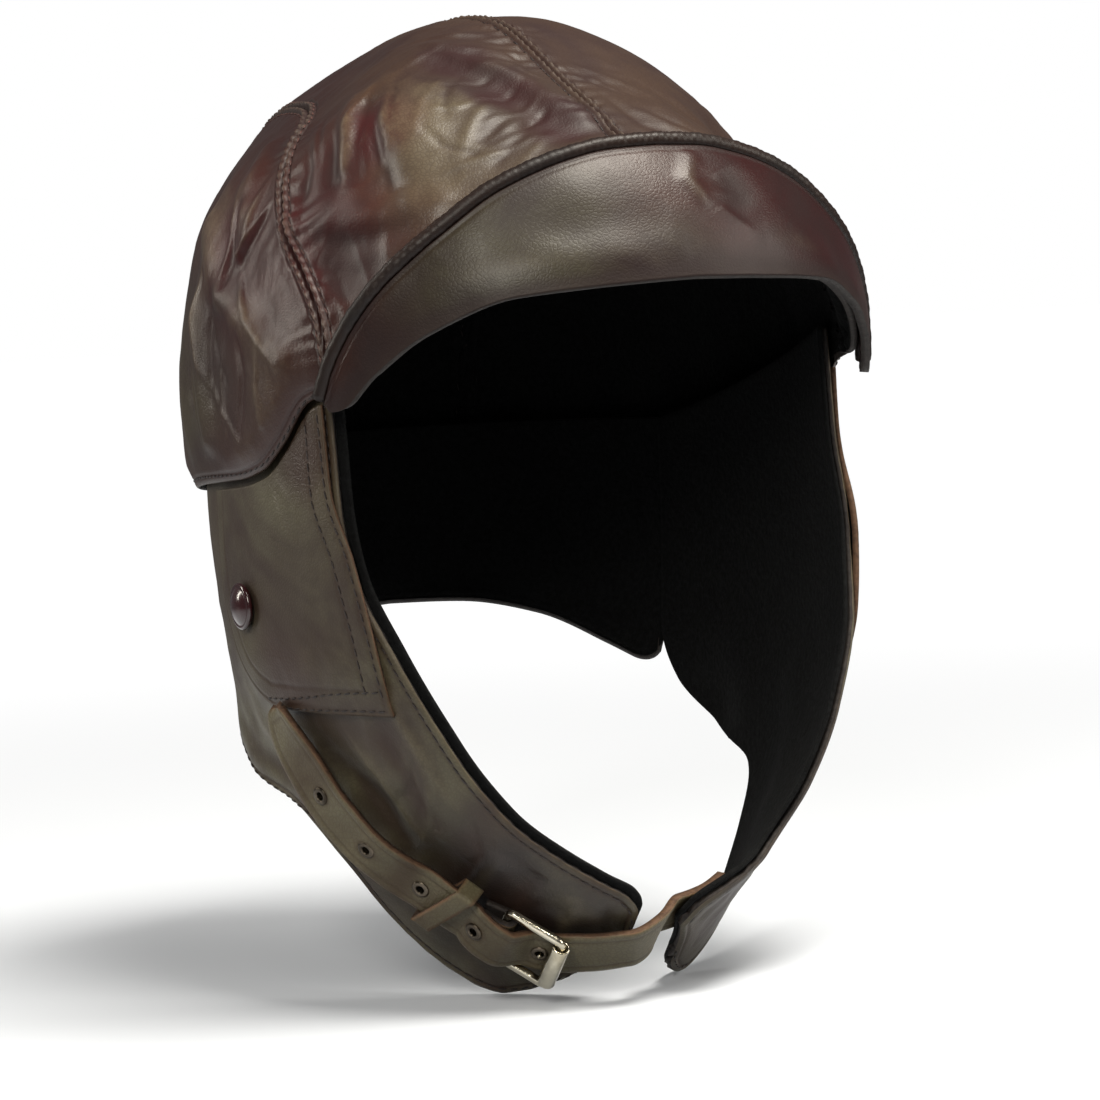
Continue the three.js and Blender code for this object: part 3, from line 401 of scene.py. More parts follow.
# %% Where the crown's panels lie
# The centre seam runs a little to the wearer's right of the middle
CENTRE_SEAM = -0.04
SIDE_SEAM = table(
    "along azimuth elevation",
    (0, 58, 0.4), (0.08, 60, 11), (0.16, 65, 19.5), (0.24, 70, 25), (0.32, 77, 34),
    (0.4, 85, 44), (0.48, 92, 50), (0.56, 106, 54), (0.65, 124, 52), (0.74, 142, 43),
    (0.83, 154, 28), (0.92, 161, 7), (1, 164, -17.8),
)


def side_seam(s, side):
    return direction(side * along(SIDE_SEAM, "along", "azimuth", s),
                     along(SIDE_SEAM, "along", "elevation", s))


def centre_seam(s):
    turn = np.radians(mix(hem_elevation(0), 180 - hem_elevation(180), s))
    return unit(vec(CENTRE_SEAM, -np.cos(turn), np.sin(turn)))


def on_hem(azimuth):
    return direction(azimuth, hem_elevation(azimuth))


def hem_between(t, start, end):
    first, last = azimuth_of(start), azimuth_of(end)
    last = np.where(last - first > 180, last - 360, np.where(last - first < -180, last + 360, last))
    way = on_hem(mix(first, last, t))
    t = np.asarray(t)[..., None]
    return way + (start - on_hem(first)) * (1 - t) + (end - on_hem(last)) * t


FRONT, BACK = np.zeros(1), np.ones(1)


def crown_top(side):
    def surface(s, t):
        a, b = s[..., None], t[..., None]
        way = centre_seam(s) * (1 - b) + side_seam(s, side) * b
        for end, share in ((FRONT, 1 - a), (BACK, a)):
            middle, aside = centre_seam(end), side_seam(end, side)
            way = way + (hem_between(t, middle, aside) - middle * (1 - b) - aside * b) * share
        return crown_point(unit(way))
    return surface


def crown_side(side):
    def surface(s, t):
        low = unit(hem_between(s, side_seam(FRONT, side), side_seam(BACK, side)))
        b = t[..., None]
        return crown_point(unit(low * (1 - b) + side_seam(s, side) * b))
    return surface


# %% [markdown]
# ## Sheets of leather
# Every leather piece is made the same way: a grid from Blender, each of its points moved by the
# piece's own formula, then a Solidify modifier for the wall. Solidify gives the inner face and the
# cut edge their own material slots, which is how one sheet has grain outside, black lining inside
# and a raw edge. The height of the folds is kept as an attribute, so the colour can follow it,
# with painted shade in the valleys and a painted sheen on the ridges.

# %% A mesh becomes a piece
dressed = []


def linked(name, mesh):
    piece = bpy.data.objects.new(name, mesh)
    bpy.context.scene.collection.objects.link(piece)
    return piece


def mesh_of(bm, name):
    mesh = bpy.data.meshes.new(name)
    bm.to_mesh(mesh)
    bm.free()
    return mesh


def dress(piece, slot, *nodes):
    for polygon in piece.data.polygons:
        polygon.use_smooth = True
    dressed.append((piece, slot))
    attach(piece, "root")
    if nodes:
        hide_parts(*nodes)
    return piece


def finished(bm, name, slot, *nodes):
    mesh = mesh_of(bm, name)
    print(name, "has", len(mesh.polygons), "faces")
    return dress(linked(name, mesh), slot, *nodes)


# %% Sheets laid on a surface
# A normal is measured a step to each side of its place, which stays a little inside the sheet
NORMAL_STEP = 0.003
NORMAL_INSET = 0.004


def crowd(t, strength):
    return mix(t, (1 - np.cos(np.pi * t)) / 2, strength)


def laid(surface, relief_of, lift, u, v):
    points = surface(u, v)
    inner = [np.clip(at, NORMAL_INSET, 1 - NORMAL_INSET) for at in (u, v)]
    out = normal_of(surface, *inner, NORMAL_STEP, NORMAL_STEP)
    if np.sum(out[:, :2] * points[:, :2]) < 0:
        out = -out
    none = np.zeros(len(u))
    masks = {"height": none, "fold": none, "seam": none, "worn": none}
    if relief_of:
        masks.update(relief_of(points, u, v))
    return points + out * (lift + masks["height"])[:, None], out, masks


def give(mesh, masks):
    for mask in ("fold", "seam", "worn"):
        values = np.asarray(masks[mask], np.float32)
        mesh.attributes.new(mask, "FLOAT", "POINT").data.foreach_set("value", values)


def harden(piece, wall):
    shell = piece.modifiers.new("wall", "SOLIDIFY")
    shell.thickness = wall * MM
    shell.offset = -1
    shell.material_offset = 1
    shell.material_offset_rim = 2


def face_out(bm, out, place):
    bm.normal_update()
    bm.verts.ensure_lookup_table()
    if bm.verts[place].normal.dot(Vector(out[place])) < 0:
        bmesh.ops.reverse_faces(bm, faces=bm.faces)


def walled(bm, name, slot, nodes, masks, wall):
    piece = finished(bm, name, slot, *nodes)
    give(piece.data, masks)
    harden(piece, wall)


def sheet(name, surface, counts, slot, nodes, relief_of=None, wall=LEATHER, lift=0.0, crowded=0.0):
    bm = bmesh.new()
    bmesh.ops.create_grid(bm, x_segments=counts[0], y_segments=counts[1], size=0.5)
    flat = np.array([vert.co[:2] for vert in bm.verts]) + 0.5
    u, v = np.clip(flat.T, 0, 1)
    points, out, masks = laid(surface, relief_of, lift, u, crowd(v, crowded))
    for vert, point in zip(bm.verts, points * MM):
        vert.co = point
    face_out(bm, out, len(bm.verts) // 2)
    walled(bm, name, slot, nodes, masks, wall)


def wander(points, size, shift=0.0):
    places = points / size + shift
    return np.array([noise.noise(Vector(place)) for place in places])


# %% [markdown]
# ## Seams
# A topstitched seam is a dark valley where two panels meet, with a row of stitches on each side
# that pulls the leather down and puckers it into small beads. The distance from every point to the
# seam line gives all of that: one formula for the valley, one for each row, and waves across it.

# %% Seam relief
# A row of stitches lies SEAM_ROW from the seam, and the puckers fade over PUCKER_REACH beyond it
SEAM_ROW = 2.6
SEAM_VALLEY = 1.0
SEAM_BEAD = 0.7
SEAM_GROOVE = 0.5
STITCH_PITCH = 3.3
PUCKER_REACH = 6
PUCKER_PITCH = 1.7 * STITCH_PITCH
LINE_STEPS = 260


def nearest(points, line):
    gaps = np.linalg.norm(points[:, None, :] - line[None, :, :], axis=2)
    place = gaps.argmin(axis=1)
    return gaps[np.arange(len(points)), place], run_along(line)[place]


def seam_relief(points, line, pucker=0.25):
    gap, run = nearest(points, line)
    drift = wander(points, 14, 3)
    wave = np.sin(2 * np.pi * run / STITCH_PITCH + 1.5 * drift)
    height = SEAM_BEAD * (1 + 0.4 * wave) * bump_at(gap, 0.5 * SEAM_ROW, 0.6)
    height = height - SEAM_VALLEY * bump_at(gap, 0, 0.5) - SEAM_GROOVE * bump_at(gap, SEAM_ROW, 0.45)
    slow = np.sin(2 * np.pi * run / PUCKER_PITCH + 5 * drift)
    fade = np.exp(-(gap - SEAM_ROW) / PUCKER_REACH) * np.clip(0.7 + 1.6 * drift, 0, 1.4)
    height = height + pucker * slow * fade * smooth(gap, SEAM_ROW, SEAM_ROW + 1)
    return height, gap, (0.55 + 0.45 * wave) * bump_at(gap, 0.5 * SEAM_ROW, 0.5)


def line_of(surface, fixed, value):
    ends = np.linspace(0, 1, LINE_STEPS)
    held = np.full(LINE_STEPS, float(value))
    return surface(held, ends) if fixed == "u" else surface(ends, held)


def gap_to(points, lines):
    return np.min([nearest(points, line)[0] for line in lines], axis=0)


# %% [markdown]
# ## Creases
# Big folds are in the CAD part. Smaller ones are drawn here, each as a bent line with a width and
# a height, placed from the reference. Under them lies a crumple: ridged noise, stretched upwards,
# which is how thin leather creases when it is pulled down tight. Slow swells on top keep the panels
# from looking like one smooth shell.

# %% Creases of the crown: three places as azimuth and elevation, then width and height
CREASES = (
    ((-54, 63), (-23, 52), (-11, 37), 8, -3.4),
    ((-62, 21), (-54, 19), (-47, 20), 8, -2.2),
    ((-57, 50), (-52, 40), (-46, 31), 2.2, -1.1),
    ((-61, 52), (-57, 41), (-54, 33), 2.0, -0.9),
    ((-66, 52), (-60, 42), (-58, 32), 1.6, 0.8),
    ((-70, 51), (-64, 41), (-62, 34), 1.8, -0.9),
    ((-75, 44), (-70, 38), (-69, 31), 1.7, -0.8),
    ((-52, 47), (-49, 40), (-50, 33), 1.5, 0.6),
    ((-72, 29), (-53, 29), (-37, 27), 3.5, -0.5),
    ((-66, 25), (-55, 24), (-42, 25), 3.5, -1.0),
    ((-18, 44), (-22, 39), (-28, 33), 1.6, -0.7),
    ((-22, 46), (-26, 42), (-30, 38), 1.4, -0.6),
    ((-15, 41), (-19, 37), (-24, 32), 1.3, 0.5),
    ((-27, 48), (-31, 43), (-34, 36), 1.6, 0.6),
    ((-63, 23), (-59, 18), (-55, 14), 2.0, -0.8),
    ((-60, 20), (-56, 14), (-53, 9), 1.6, 0.6),
    ((-79, 33), (-83, 27), (-88, 20), 1.7, -0.8),
    ((-85, 40), (-86, 32), (-86, 25), 1.6, 0.7),
    ((-93, 34), (-91, 24), (-90, 17), 1.8, -0.8),
    ((-96, 22), (-97, 10), (-96, -3), 1.6, -0.7),
    ((-90, 12), (-92, 2), (-90, -9), 1.5, 0.6),
    ((-84, 12), (-82, 3), (-84, -8), 1.7, -0.7),
    ((-76, 10), (-77, 2), (-76, -6), 1.6, 0.6),
    ((-109, 16), (-110, 8), (-109, -4), 2.0, -0.9),
    ((-8, 62), (-30, 64), (-60, 66), 1.8, -0.7),
    ((-6, 70), (-40, 72), (-80, 70), 2.0, -0.6),
    ((-12, 66), (-38, 67), (-66, 69), 1.5, 0.5),
    ((-14, 54), (-30, 60), (-48, 66), 2.2, 0.8),
    ((3, 55), (7, 43), (16, 37), 2.2, -0.8),
    ((2, 62), (14, 54), (30, 44), 2.4, -0.6),
    ((5, 66), (22, 56), (40, 44), 2.0, 0.5),
    ((8, 48), (14, 42), (26, 36), 1.8, 0.6),
    ((26, 60), (38, 50), (52, 38), 2.2, -0.6),
    ((60, 46), (64, 36), (66, 26), 2.0, -0.8),
    ((70, 52), (74, 40), (74, 30), 1.8, 0.7),
    ((92, 40), (90, 26), (92, 10), 2.0, -0.7),
    ((104, 30), (106, 14), (104, 0), 2.2, 0.6),
    ((150, 62), (152, 44), (148, 28), 2.4, -0.6),
    ((-150, 60), (-154, 42), (-148, 26), 2.4, -0.6),
    ((-128, 40), (-130, 24), (-126, 6), 2.2, -0.7),
    ((128, 40), (130, 24), (126, 6), 2.2, -0.7),
    ((175, 30), (172, 14), (176, 0), 2.2, -0.6),
    ((-104, 30), (-104, 12), (-100, 2), 0.9, 0.7),
    ((-102, 6), (-93, -2), (-84, -9), 0.8, 0.6),
    ((-98, 38), (-93, 28), (-92, 14), 1.0, 0.6),
    ((-74, 40), (-84, 28), (-92, 18), 0.9, 0.6),
    ((-112, 40), (-113, 22), (-109, 4), 1.1, -0.7),
    ((-88, 22), (-80, 12), (-70, 4), 1.0, 0.5),
    ((-64, 56), (-63, 46), (-59, 36), 0.9, 0.6),
    ((-55, 56), (-50, 46), (-49, 36), 0.9, -0.6),
    ((-13, 52), (-20, 46), (-30, 42), 0.8, 0.5),
    ((-14, 47), (-22, 41), (-33, 35), 0.8, -0.5),
    ((-17, 40), (-26, 36), (-38, 33), 0.9, 0.5),
    ((-9, 74), (-50, 74), (-90, 68), 1.1, 0.5),
    ((8, 60), (18, 50), (30, 38), 1.0, 0.5),
    ((-16, 56), (-24, 50), (-33, 47), 0.9, -0.5),
    ((-20, 60), (-30, 55), (-40, 52), 0.9, -0.5),
    ((-10, 50), (-17, 44), (-25, 40), 0.8, -0.5),
    ((-27, 50), (-34, 46), (-41, 46), 1.0, 0.5),
    ((-30, 36), (-37, 38), (-43, 43), 0.9, -0.5),
    ((-40, 56), (-43, 48), (-43, 40), 1.0, 0.5),
    ((-36, 58), (-38, 50), (-37, 43), 0.9, -0.5),
    ((-9, 57), (-14, 58), (-21, 62), 0.9, 0.5),
    ((-8, 64), (-16, 65), (-26, 68), 0.9, -0.5),
    ((-78, 50), (-72, 45), (-67, 38), 0.9, -0.5),
    ((-80, 42), (-75, 36), (-72, 28), 0.9, 0.5),
    ((-68, 30), (-66, 22), (-62, 12), 0.9, -0.5),
    ((-56, 27), (-52, 20), (-49, 14), 0.9, 0.4),
    ((-95, 30), (-88, 24), (-82, 14), 0.9, 0.6),
    ((-100, 18), (-94, 8), (-88, 0), 0.9, -0.5),
    ((-106, 8), (-104, 0), (-103, -10), 0.9, 0.5),
    ((12, 46), (20, 40), (32, 34), 0.9, -0.4),
)


def bent_lines(rows, place):
    lines = []
    for *spots, width, height in rows:
        lines.append(([place(*np.array(spot, float)[:, None])[0] for spot in spots], width, height))
    return lines


def lines_relief(points, lines):
    height = np.zeros(len(points))
    for (start, middle, end), width, depth in lines:
        first, before = to_segment(points, start, middle)
        second, after = to_segment(points, middle, end)
        near, run = np.minimum(first, second), (before + after) / 2
        height += depth * bump_at(near, 0, width) * np.clip(4 * run * (1 - run), 0, 1) ** 0.6
    return height


UPWARD_STRETCH = np.array([1, 1, 0.62])


def crumple(points, scale, height, seed):
    stretched = points * UPWARD_STRETCH
    ridge = 1 - np.abs(wander(stretched, scale, seed)) * 2.4
    return height * (ridge - 0.4) * (0.55 + wander(points, scale * 3.1, seed + 5))


crease_lines = bent_lines(CREASES, crown_at)
print(len(crease_lines), "creases on the crown")

# %% Relief of a crown panel
# Crumples and swells from coarse to fine: size, height and seed
CRUMPLES = ((19, 0.42, 3), (9, 0.2, 7), (4.5, 0.09, 11))
SWELLS = ((38, 1.5, 17), (21, 0.8, 23))
CREASE_FADE = 6
centre_line = crown_point(centre_seam(np.linspace(0, 1, LINE_STEPS)))
side_lines = {side: crown_point(side_seam(np.linspace(0, 1, LINE_STEPS), side)) for side in (-1, 1)}


def bareness(points):
    flat = np.hypot(points[:, 0], points[:, 1])
    azimuth = azimuth_of(points)
    rise = np.degrees(np.arctan2(points[:, 2] - CROWN_MIDDLE, flat))
    edge = along(PEAK_EDGE, "azimuth", "elevation", np.abs(azimuth))
    return np.where(np.abs(azimuth) > PEAK_END, 1, smooth(rise, edge, edge + CREASE_FADE))


def crown_relief(side, top):
    surface = crown_top(side) if top else crown_side(side)
    hem_edges = (("u", 0), ("u", 1)) if top else (("v", 0),)
    hems = [line_of(surface, *edge) for edge in hem_edges]

    def masks(points, u, v):
        fine, gap, beads = seam_relief(points, side_lines[side])
        if top:
            centre, other, more = seam_relief(points, centre_line, 0.45)
            fine, gap, beads = fine + centre, np.minimum(gap, other), beads + more
        hem = gap_to(points, hems)
        broad = relief(points - np.array([0, 0, CROWN_MIDDLE]), CROWN_FOLDS)
        small = lines_relief(points, crease_lines)
        small = small + sum(crumple(points, *row) for row in CRUMPLES)
        small = small + sum(rise * wander(points, size, seed) for size, rise, seed in SWELLS)
        bare = bareness(points)
        small = small * bare * smooth(gap, 2, 9) * smooth(hem, 1, 8)
        fine = fine * smooth(hem, 0.3, 3)
        rows = 0.9 * bump_at(gap, SEAM_ROW, 0.5) + 0.5 * bump_at(hem, SEAM_ROW, 0.6)
        # Painted light: the fold mask gives painted shade in the valleys and a painted sheen on the ridges,
        # and the seam beads in the wear mask take a painted highlight
        return {"height": fine + small - 0.3 * bump_at(hem, SEAM_ROW, 0.5),
                "fold": np.clip((broad * bare + 2.2 * small) / 4, -1, 1),
                "seam": bump_at(gap, 0, 0.7) + rows,
                "worn": 0.4 * bump_at(hem, 0, 1) + 0.5 * beads}
    return masks


# %% Four crown panels
TOP_GRID = (330, 116)
SIDE_GRID = (290, 104)
SIDES = (("right", -1), ("left", 1))
for name, side in SIDES:
    sheet(f"crown_top_leather_{name}", crown_top(side), TOP_GRID, "crown_leather",
          (f"crown_top_{name}",), crown_relief(side, True), crowded=0.7)
    sheet(f"crown_side_leather_{name}", crown_side(side), SIDE_GRID, "crown_leather",
          (f"crown_side_{name}",), crown_relief(side, False), crowded=0.65)

# %% [markdown]
# ## Peak and binding
# The peak is a stiff short brim, turned up against the front of the crown. Its outer face shows
# a few broad waves, because the leather is glued over a stiffener. Its free edge is bound: a strip
# of leather is rolled round it, which is a rod swept along the edge. A swept circle would look
# like wire, so the rod's radius swells a little on its way.

# %% Peak surface
# The two ends are rounded over their last PEAK_CORNER degrees, up to the share PEAK_ROUND of the rise
PEAK_WALL = 2.4
PEAK_STAND_RIGHT = 0.016
PEAK_STAND_LEFT = 0.006
PEAK_CORNER = 5
PEAK_ROUND = 0.92
PEAK_FOLD = table(
    "azimuth elevation", (0, 13.6), (12, 13.2), (26, 12.4), (39, 8.4), (48, 3), (58, -6.5),
)


def peak_point(azimuth, rise):
    fold = along(PEAK_FOLD, "azimuth", "elevation", np.abs(azimuth))
    edge = along(PEAK_EDGE, "azimuth", "elevation", np.abs(azimuth))
    point = dome_point(direction(azimuth, mix(fold, edge, rise)))
    stand = mix(PEAK_STAND_RIGHT, PEAK_STAND_LEFT, smooth(azimuth, -PEAK_END, PEAK_END))
    lean = np.sin(np.clip(rise, 0, 1) * np.pi / 2) ** 1.5
    length = size_of(point) + 2 * CLEAR + PEAK_WALL + stand * DOME * lean
    return unit(point) * length[..., None] + np.array([0, 0, CROWN_MIDDLE])


def peak_surface(u, v):
    azimuth = mix(-PEAK_END, PEAK_END, u)
    near = np.clip((np.abs(azimuth) - PEAK_END + PEAK_CORNER) / PEAK_CORNER, 0, 1)
    return peak_point(azimuth, mix(PEAK_ROUND * (1 - np.sqrt(1 - near**2)), 1, v))


# %% Waves of the peak: three places as azimuth and rise, then width and height
PEAK_WAVES = (
    ((6, 0.95), (3, 0.72), (5, 0.5), 2.6, 0.8),
    ((10, 0.8), (12, 0.62), (9, 0.45), 5.5, -1.2),
    ((-30, 0.75), (-18, 0.5), (-2, 0.4), 7, -0.6),
    ((-40, 0.5), (-24, 0.25), (0, 0.2), 6, 0.7),
    ((-50, 0.2), (-46, 0.5), (-38, 0.85), 5, -0.7),
    ((22, 0.85), (32, 0.5), (38, 0.1), 8, -0.6),
    ((14, 0.3), (28, 0.2), (44, 0.15), 6, 0.5),
)
peak_lines = bent_lines(PEAK_WAVES, peak_point)
peak_edge_line = line_of(peak_surface, "v", 1)
peak_fold_line = line_of(peak_surface, "v", 0)


def peak_relief(points, u, v):
    edge = nearest(points, peak_edge_line)[0]
    fold = nearest(points, peak_fold_line)[0]
    fine = lines_relief(points, peak_lines) + 0.35 * wander(points, 24, 2) + 0.1 * wander(points, 8, 9)
    # Painted shade: the fold mask darkens a band along the peak's fold, and the wear mask a thin line on it
    fold_shade = bump_at(fold, 0, 5)
    return {"height": fine - 0.25 * bump_at(edge, 1.2, 0.6), "fold": np.clip(fine / 1.6 - fold_shade, -1, 1),
            "seam": bump_at(edge, 0, 0.9), "worn": 0.5 * bump_at(fold, 0, 1.5)}


PEAK_GRID = (190, 60)
sheet("peak_leather", peak_surface, PEAK_GRID, "peak_leather", ("peak",), peak_relief, PEAK_WALL)


# %% Rods swept along a line
# A round section is squared by a power below 1, and faces say which way its flat side looks
def next_ring(bm, edges):
    made = bmesh.ops.extrude_edge_only(bm, edges=edges)["geom"]
    ring = [item for item in made if isinstance(item, bmesh.types.BMVert)]
    return ring, [item for item in made if isinstance(item, bmesh.types.BMEdge)]


def across_at(ahead, face, before):
    side = np.cross(ahead, face) if face is not None else before
    side = side - ahead * (side @ ahead)
    return side / np.linalg.norm(side)


def rod(name, line, radius, sides, slot, nodes, closed=False, faces=None, square=1.0):
    radius = np.broadcast_to(radius, len(line))
    wrapped = np.roll(line, -1, 0) - np.roll(line, 1, 0)
    ahead = unit(wrapped if closed else np.gradient(line, axis=0))
    bm = bmesh.new()
    ring = bmesh.ops.create_circle(bm, cap_ends=False, radius=1, segments=sides)["verts"]
    spots = [Vector([math.copysign(abs(value) ** square, value) for value in vert.co]) for vert in ring]
    first = edges = list(bm.edges)
    side = np.cross(ahead[0], (0.3, 0.2, 1))
    for i, point in enumerate(line):
        if i:
            ring, edges = next_ring(bm, edges)
        side = across_at(ahead[i], None if faces is None else faces[i], side)
        other = np.cross(side, ahead[i])
        for vert, spot in zip(ring, spots):
            vert.co = Vector((point + radius[i] * (side * spot.x + other * spot.y)) * MM)
    if closed:
        bmesh.ops.bridge_loops(bm, edges=first + edges)
    else:
        bmesh.ops.holes_fill(bm, edges=[edge for edge in bm.edges if edge.is_boundary])
    bmesh.ops.recalc_face_normals(bm, faces=bm.faces)
    finished(bm, name, slot, *nodes)


# %% Binding on the peak's edge
BINDING = 4.4
BINDING_RINGS = 320


def binding_line(azimuth):
    one = np.ones(len(azimuth))
    edge = peak_point(azimuth, one)
    upward = edge - peak_point(azimuth, 0.94 * one)
    out = normal_of(peak_point, azimuth, 0.97 * one, 0.2, 0.01)
    out = out * np.sign(np.sum(out * direction(azimuth, 0), -1))[:, None]
    onward = peak_point(azimuth + 0.5, one) - peak_point(azimuth - 0.5, one)
    beyond = unit(np.cross(out, onward))
    beyond = beyond * np.sign(np.sum(beyond * upward, -1))[:, None]
    return edge + beyond * (BINDING / 2 + CLEAR) - out * PEAK_WALL / 2, beyond


binding_turns = np.linspace(-PEAK_END, PEAK_END, BINDING_RINGS)
binding_path, binding_faces = binding_line(binding_turns)
swell = 1 + 0.035 * np.sin(binding_turns * 5.2) + 0.03 * np.sin(binding_turns * 1.7)
rod("rolled_binding", binding_path, BINDING / 2 * swell, 18, "binding_leather", ("peak_binding",),
    faces=binding_faces)
print("the binding runs", round(float(run_along(binding_path)[-1])), "mm round the peak")

# %% [markdown]
# ## Ear flaps, linings and neck guard
# A flap is one long piece from the temple to the chin. It carries a broad soft fold at its lower
# back, and smaller wrinkles where it turns under the jaw. The black lining is a second sheet just
# inside it, a little wider at the face edge, and shows as a dark band there.


# %% Flap surface
def flap_surface(side):
    def surface(v, u):
        front, back_edge, front_drop, back_drop, pull, tuck = (
            along(FLAP, "down", column, v)
            for column in ("front", "back", "front_drop", "back_drop", "pull", "tuck"))
        askew = 1 if side > 0 else 0
        azimuth = mix(front + askew * pull, back_edge - askew * tuck, u)
        return skin(side * azimuth, mix(front_drop, back_drop, u))
    return surface


# %% Wrinkles of a flap: three places as down and across, then width and height
FLAP_WRINKLES = (
    ((0.42, 0.18), (0.5, 0.22), (0.6, 0.3), 3.2, -1.3),
    ((0.4, 0.3), (0.5, 0.33), (0.62, 0.42), 2.6, 1.0),
    ((0.44, 0.42), (0.54, 0.46), (0.64, 0.52), 3, -1.1),
    ((0.36, 0.08), (0.46, 0.1), (0.58, 0.14), 2.2, 0.7),
    ((0.46, 0.1), (0.52, 0.24), (0.54, 0.4), 1.2, -0.5),
    ((0.52, 0.16), (0.58, 0.3), (0.62, 0.5), 1.1, 0.5),
    ((0.58, 0.1), (0.66, 0.24), (0.7, 0.44), 1.2, -0.5),
    ((0.3, 0.75), (0.38, 0.72), (0.46, 0.7), 4, 0.9),
    ((0.33, 0.9), (0.42, 0.85), (0.5, 0.8), 3.4, -0.9),
    ((0.5, 0.85), (0.58, 0.75), (0.66, 0.72), 3.4, 0.8),
    ((0.66, 0.15), (0.72, 0.4), (0.76, 0.7), 3, 0.7),
    ((0.72, 0.1), (0.78, 0.35), (0.82, 0.6), 2.8, -0.8),
    ((0.8, 0.1), (0.86, 0.3), (0.9, 0.55), 2.6, 0.6),
    ((0.86, 0.08), (0.92, 0.2), (0.97, 0.3), 2, -0.6),
    ((0.2, 0.3), (0.24, 0.5), (0.26, 0.7), 3.5, -0.5),
)
EDGE_ROW = 2.4


def edged(gap, fine):
    rim = 0.25 * bump_at(gap, 1.3, 0.6) - 0.5 * bump_at(gap, 0, 0.7)
    row = bump_at(gap, EDGE_ROW, 0.55)
    return {"height": fine * smooth(gap, 1.5, 8) + rim - 0.3 * row, "fold": np.clip(fine / 1.4, -1, 1),
            "seam": 0.9 * row, "worn": 0.7 * bump_at(gap, 0, 0.5)}


def flap_relief(side):
    surface = flap_surface(side)
    lines = bent_lines(FLAP_WRINKLES, surface)
    edges = [line_of(surface, "v", 0), line_of(surface, "v", 1), line_of(surface, "u", 1)]

    def masks(points, u, v):
        fine = lines_relief(points, lines) + crumple(points, 14, 0.5, 4 + side) + crumple(points, 5, 0.12, 8)
        fine = fine + 0.8 * wander(points, 26, 12)
        return edged(gap_to(points, edges), fine)
    return masks


FLAP_GRID = (230, 110)
for name, side in SIDES:
    sheet(f"ear_flap_leather_{name}", flap_surface(side), FLAP_GRID, "flap_leather",
          (f"ear_flap_{name}",), flap_relief(side), crowded=0.35)

# %% Linings that show beyond the flaps' edges
LINING = 1.2
LINING_EDGE = 1.8
LINING_GRID = (150, 60)
FLAP_BREADTH = 70


def lining_surface(side):
    leather = flap_surface(side)

    def surface(v, t):
        u = mix(-LINING_EDGE / FLAP_BREADTH, 1, t)
        edge = leather(v, np.zeros_like(v))
        beyond = unit(edge - leather(v, np.full_like(v, 0.02)))
        proud = edge + beyond * (np.clip(-u, 0, 1) * FLAP_BREADTH)[:, None]
        return np.where((u < 0)[:, None], proud, leather(v, np.clip(u, 0, 1)))
    return surface


for name, side in SIDES:
    sheet(f"lining_cloth_{name}", lining_surface(side), LINING_GRID, "lining_cloth",
          (f"flap_lining_{name}",), wall=LINING, lift=-(LEATHER + CLEAR), crowded=0.35)


# %% Neck guard
# Its two front corners are rounded over GUARD_CORNER degrees, by GUARD_ROUND of the helmet's height
GUARD_EDGE = 125
GUARD_GAP = 0.3
GUARD_CORNER = 7
GUARD_ROUND = 0.035
GUARD_GRID = (170, 70)
GUARD = table(
    "azimuth drop", (125, 0.722), (138, 0.69), (152, 0.655), (166, 0.638), (181, 0.634),
)


def guard_surface(u, v):
    start = GUARD_EDGE + GUARD_GAP
    azimuth = mix(start, 360 - start, u)
    folded = np.where(azimuth > 180, 360 - azimuth, azimuth)
    near = np.clip(1 - (folded - start) / GUARD_CORNER, 0, 1)
    low = along(GUARD, "azimuth", "drop", folded) - GUARD_ROUND * (1 - np.sqrt(1 - near**2))
    drop = mix(GUARD_TOP, low, v)
    return skin(np.where(azimuth > 180, azimuth - 360, azimuth), drop)


guard_hem = line_of(guard_surface, "v", 1)


def guard_relief(points, u, v):
    waves = 0.7 * np.sin(points[:, 0] / 9 + 2 * wander(points, 30, 1)) * smooth(v, 0.1, 1)
    return edged(nearest(points, guard_hem)[0], waves + crumple(points, 11, 0.35, 6))


sheet("neck_guard_leather", guard_surface, GUARD_GRID, "flap_leather", ("neck_guard",), guard_relief,
      crowded=0.2)

# %% [markdown]
# ## Ear patches and snaps
# Over each ear a second layer of leather is sewn on, with a raw tan edge and rows of stitches.
# A press stud with an oxblood cap sits near its back edge. The patch lies over the flap, so its
# surface is the flap's own, lifted by the leather between them.

# %% Patches
PATCH_WALL = 1.6
PATCH_LIFT = 2 * CLEAR + PATCH_WALL
PATCH_BOTTOM = 0.689
PATCH_ROWS = (1.6, 7)
PATCH_GRID = (110, 120)
PATCH = table(
    "down front back",
    (0, 62.5, 105), (0.28, 61, 105), (0.5, 56.6, 104), (0.68, 54.2, 101), (0.85, 52.4, 96),
    (0.95, 51.6, 90.5), (1, 51.2, 85),
)


def hem_drop(azimuth):
    return (LEATHER - crown_point(on_hem(azimuth))[..., 2]) / HEIGHT


def patch_surface(side):
    def surface(u, v):
        azimuth = mix(along(PATCH, "down", "front", v), along(PATCH, "down", "back", v), u)
        pull = along(FLAP, "front_drop", "pull", PATCH_BOTTOM) * v * (1 - u) if side > 0 else 0
        top = hem_drop(azimuth) + (LEATHER + CLEAR) / HEIGHT
        return skin(side * (azimuth + pull), mix(top, PATCH_BOTTOM, v))
    return surface


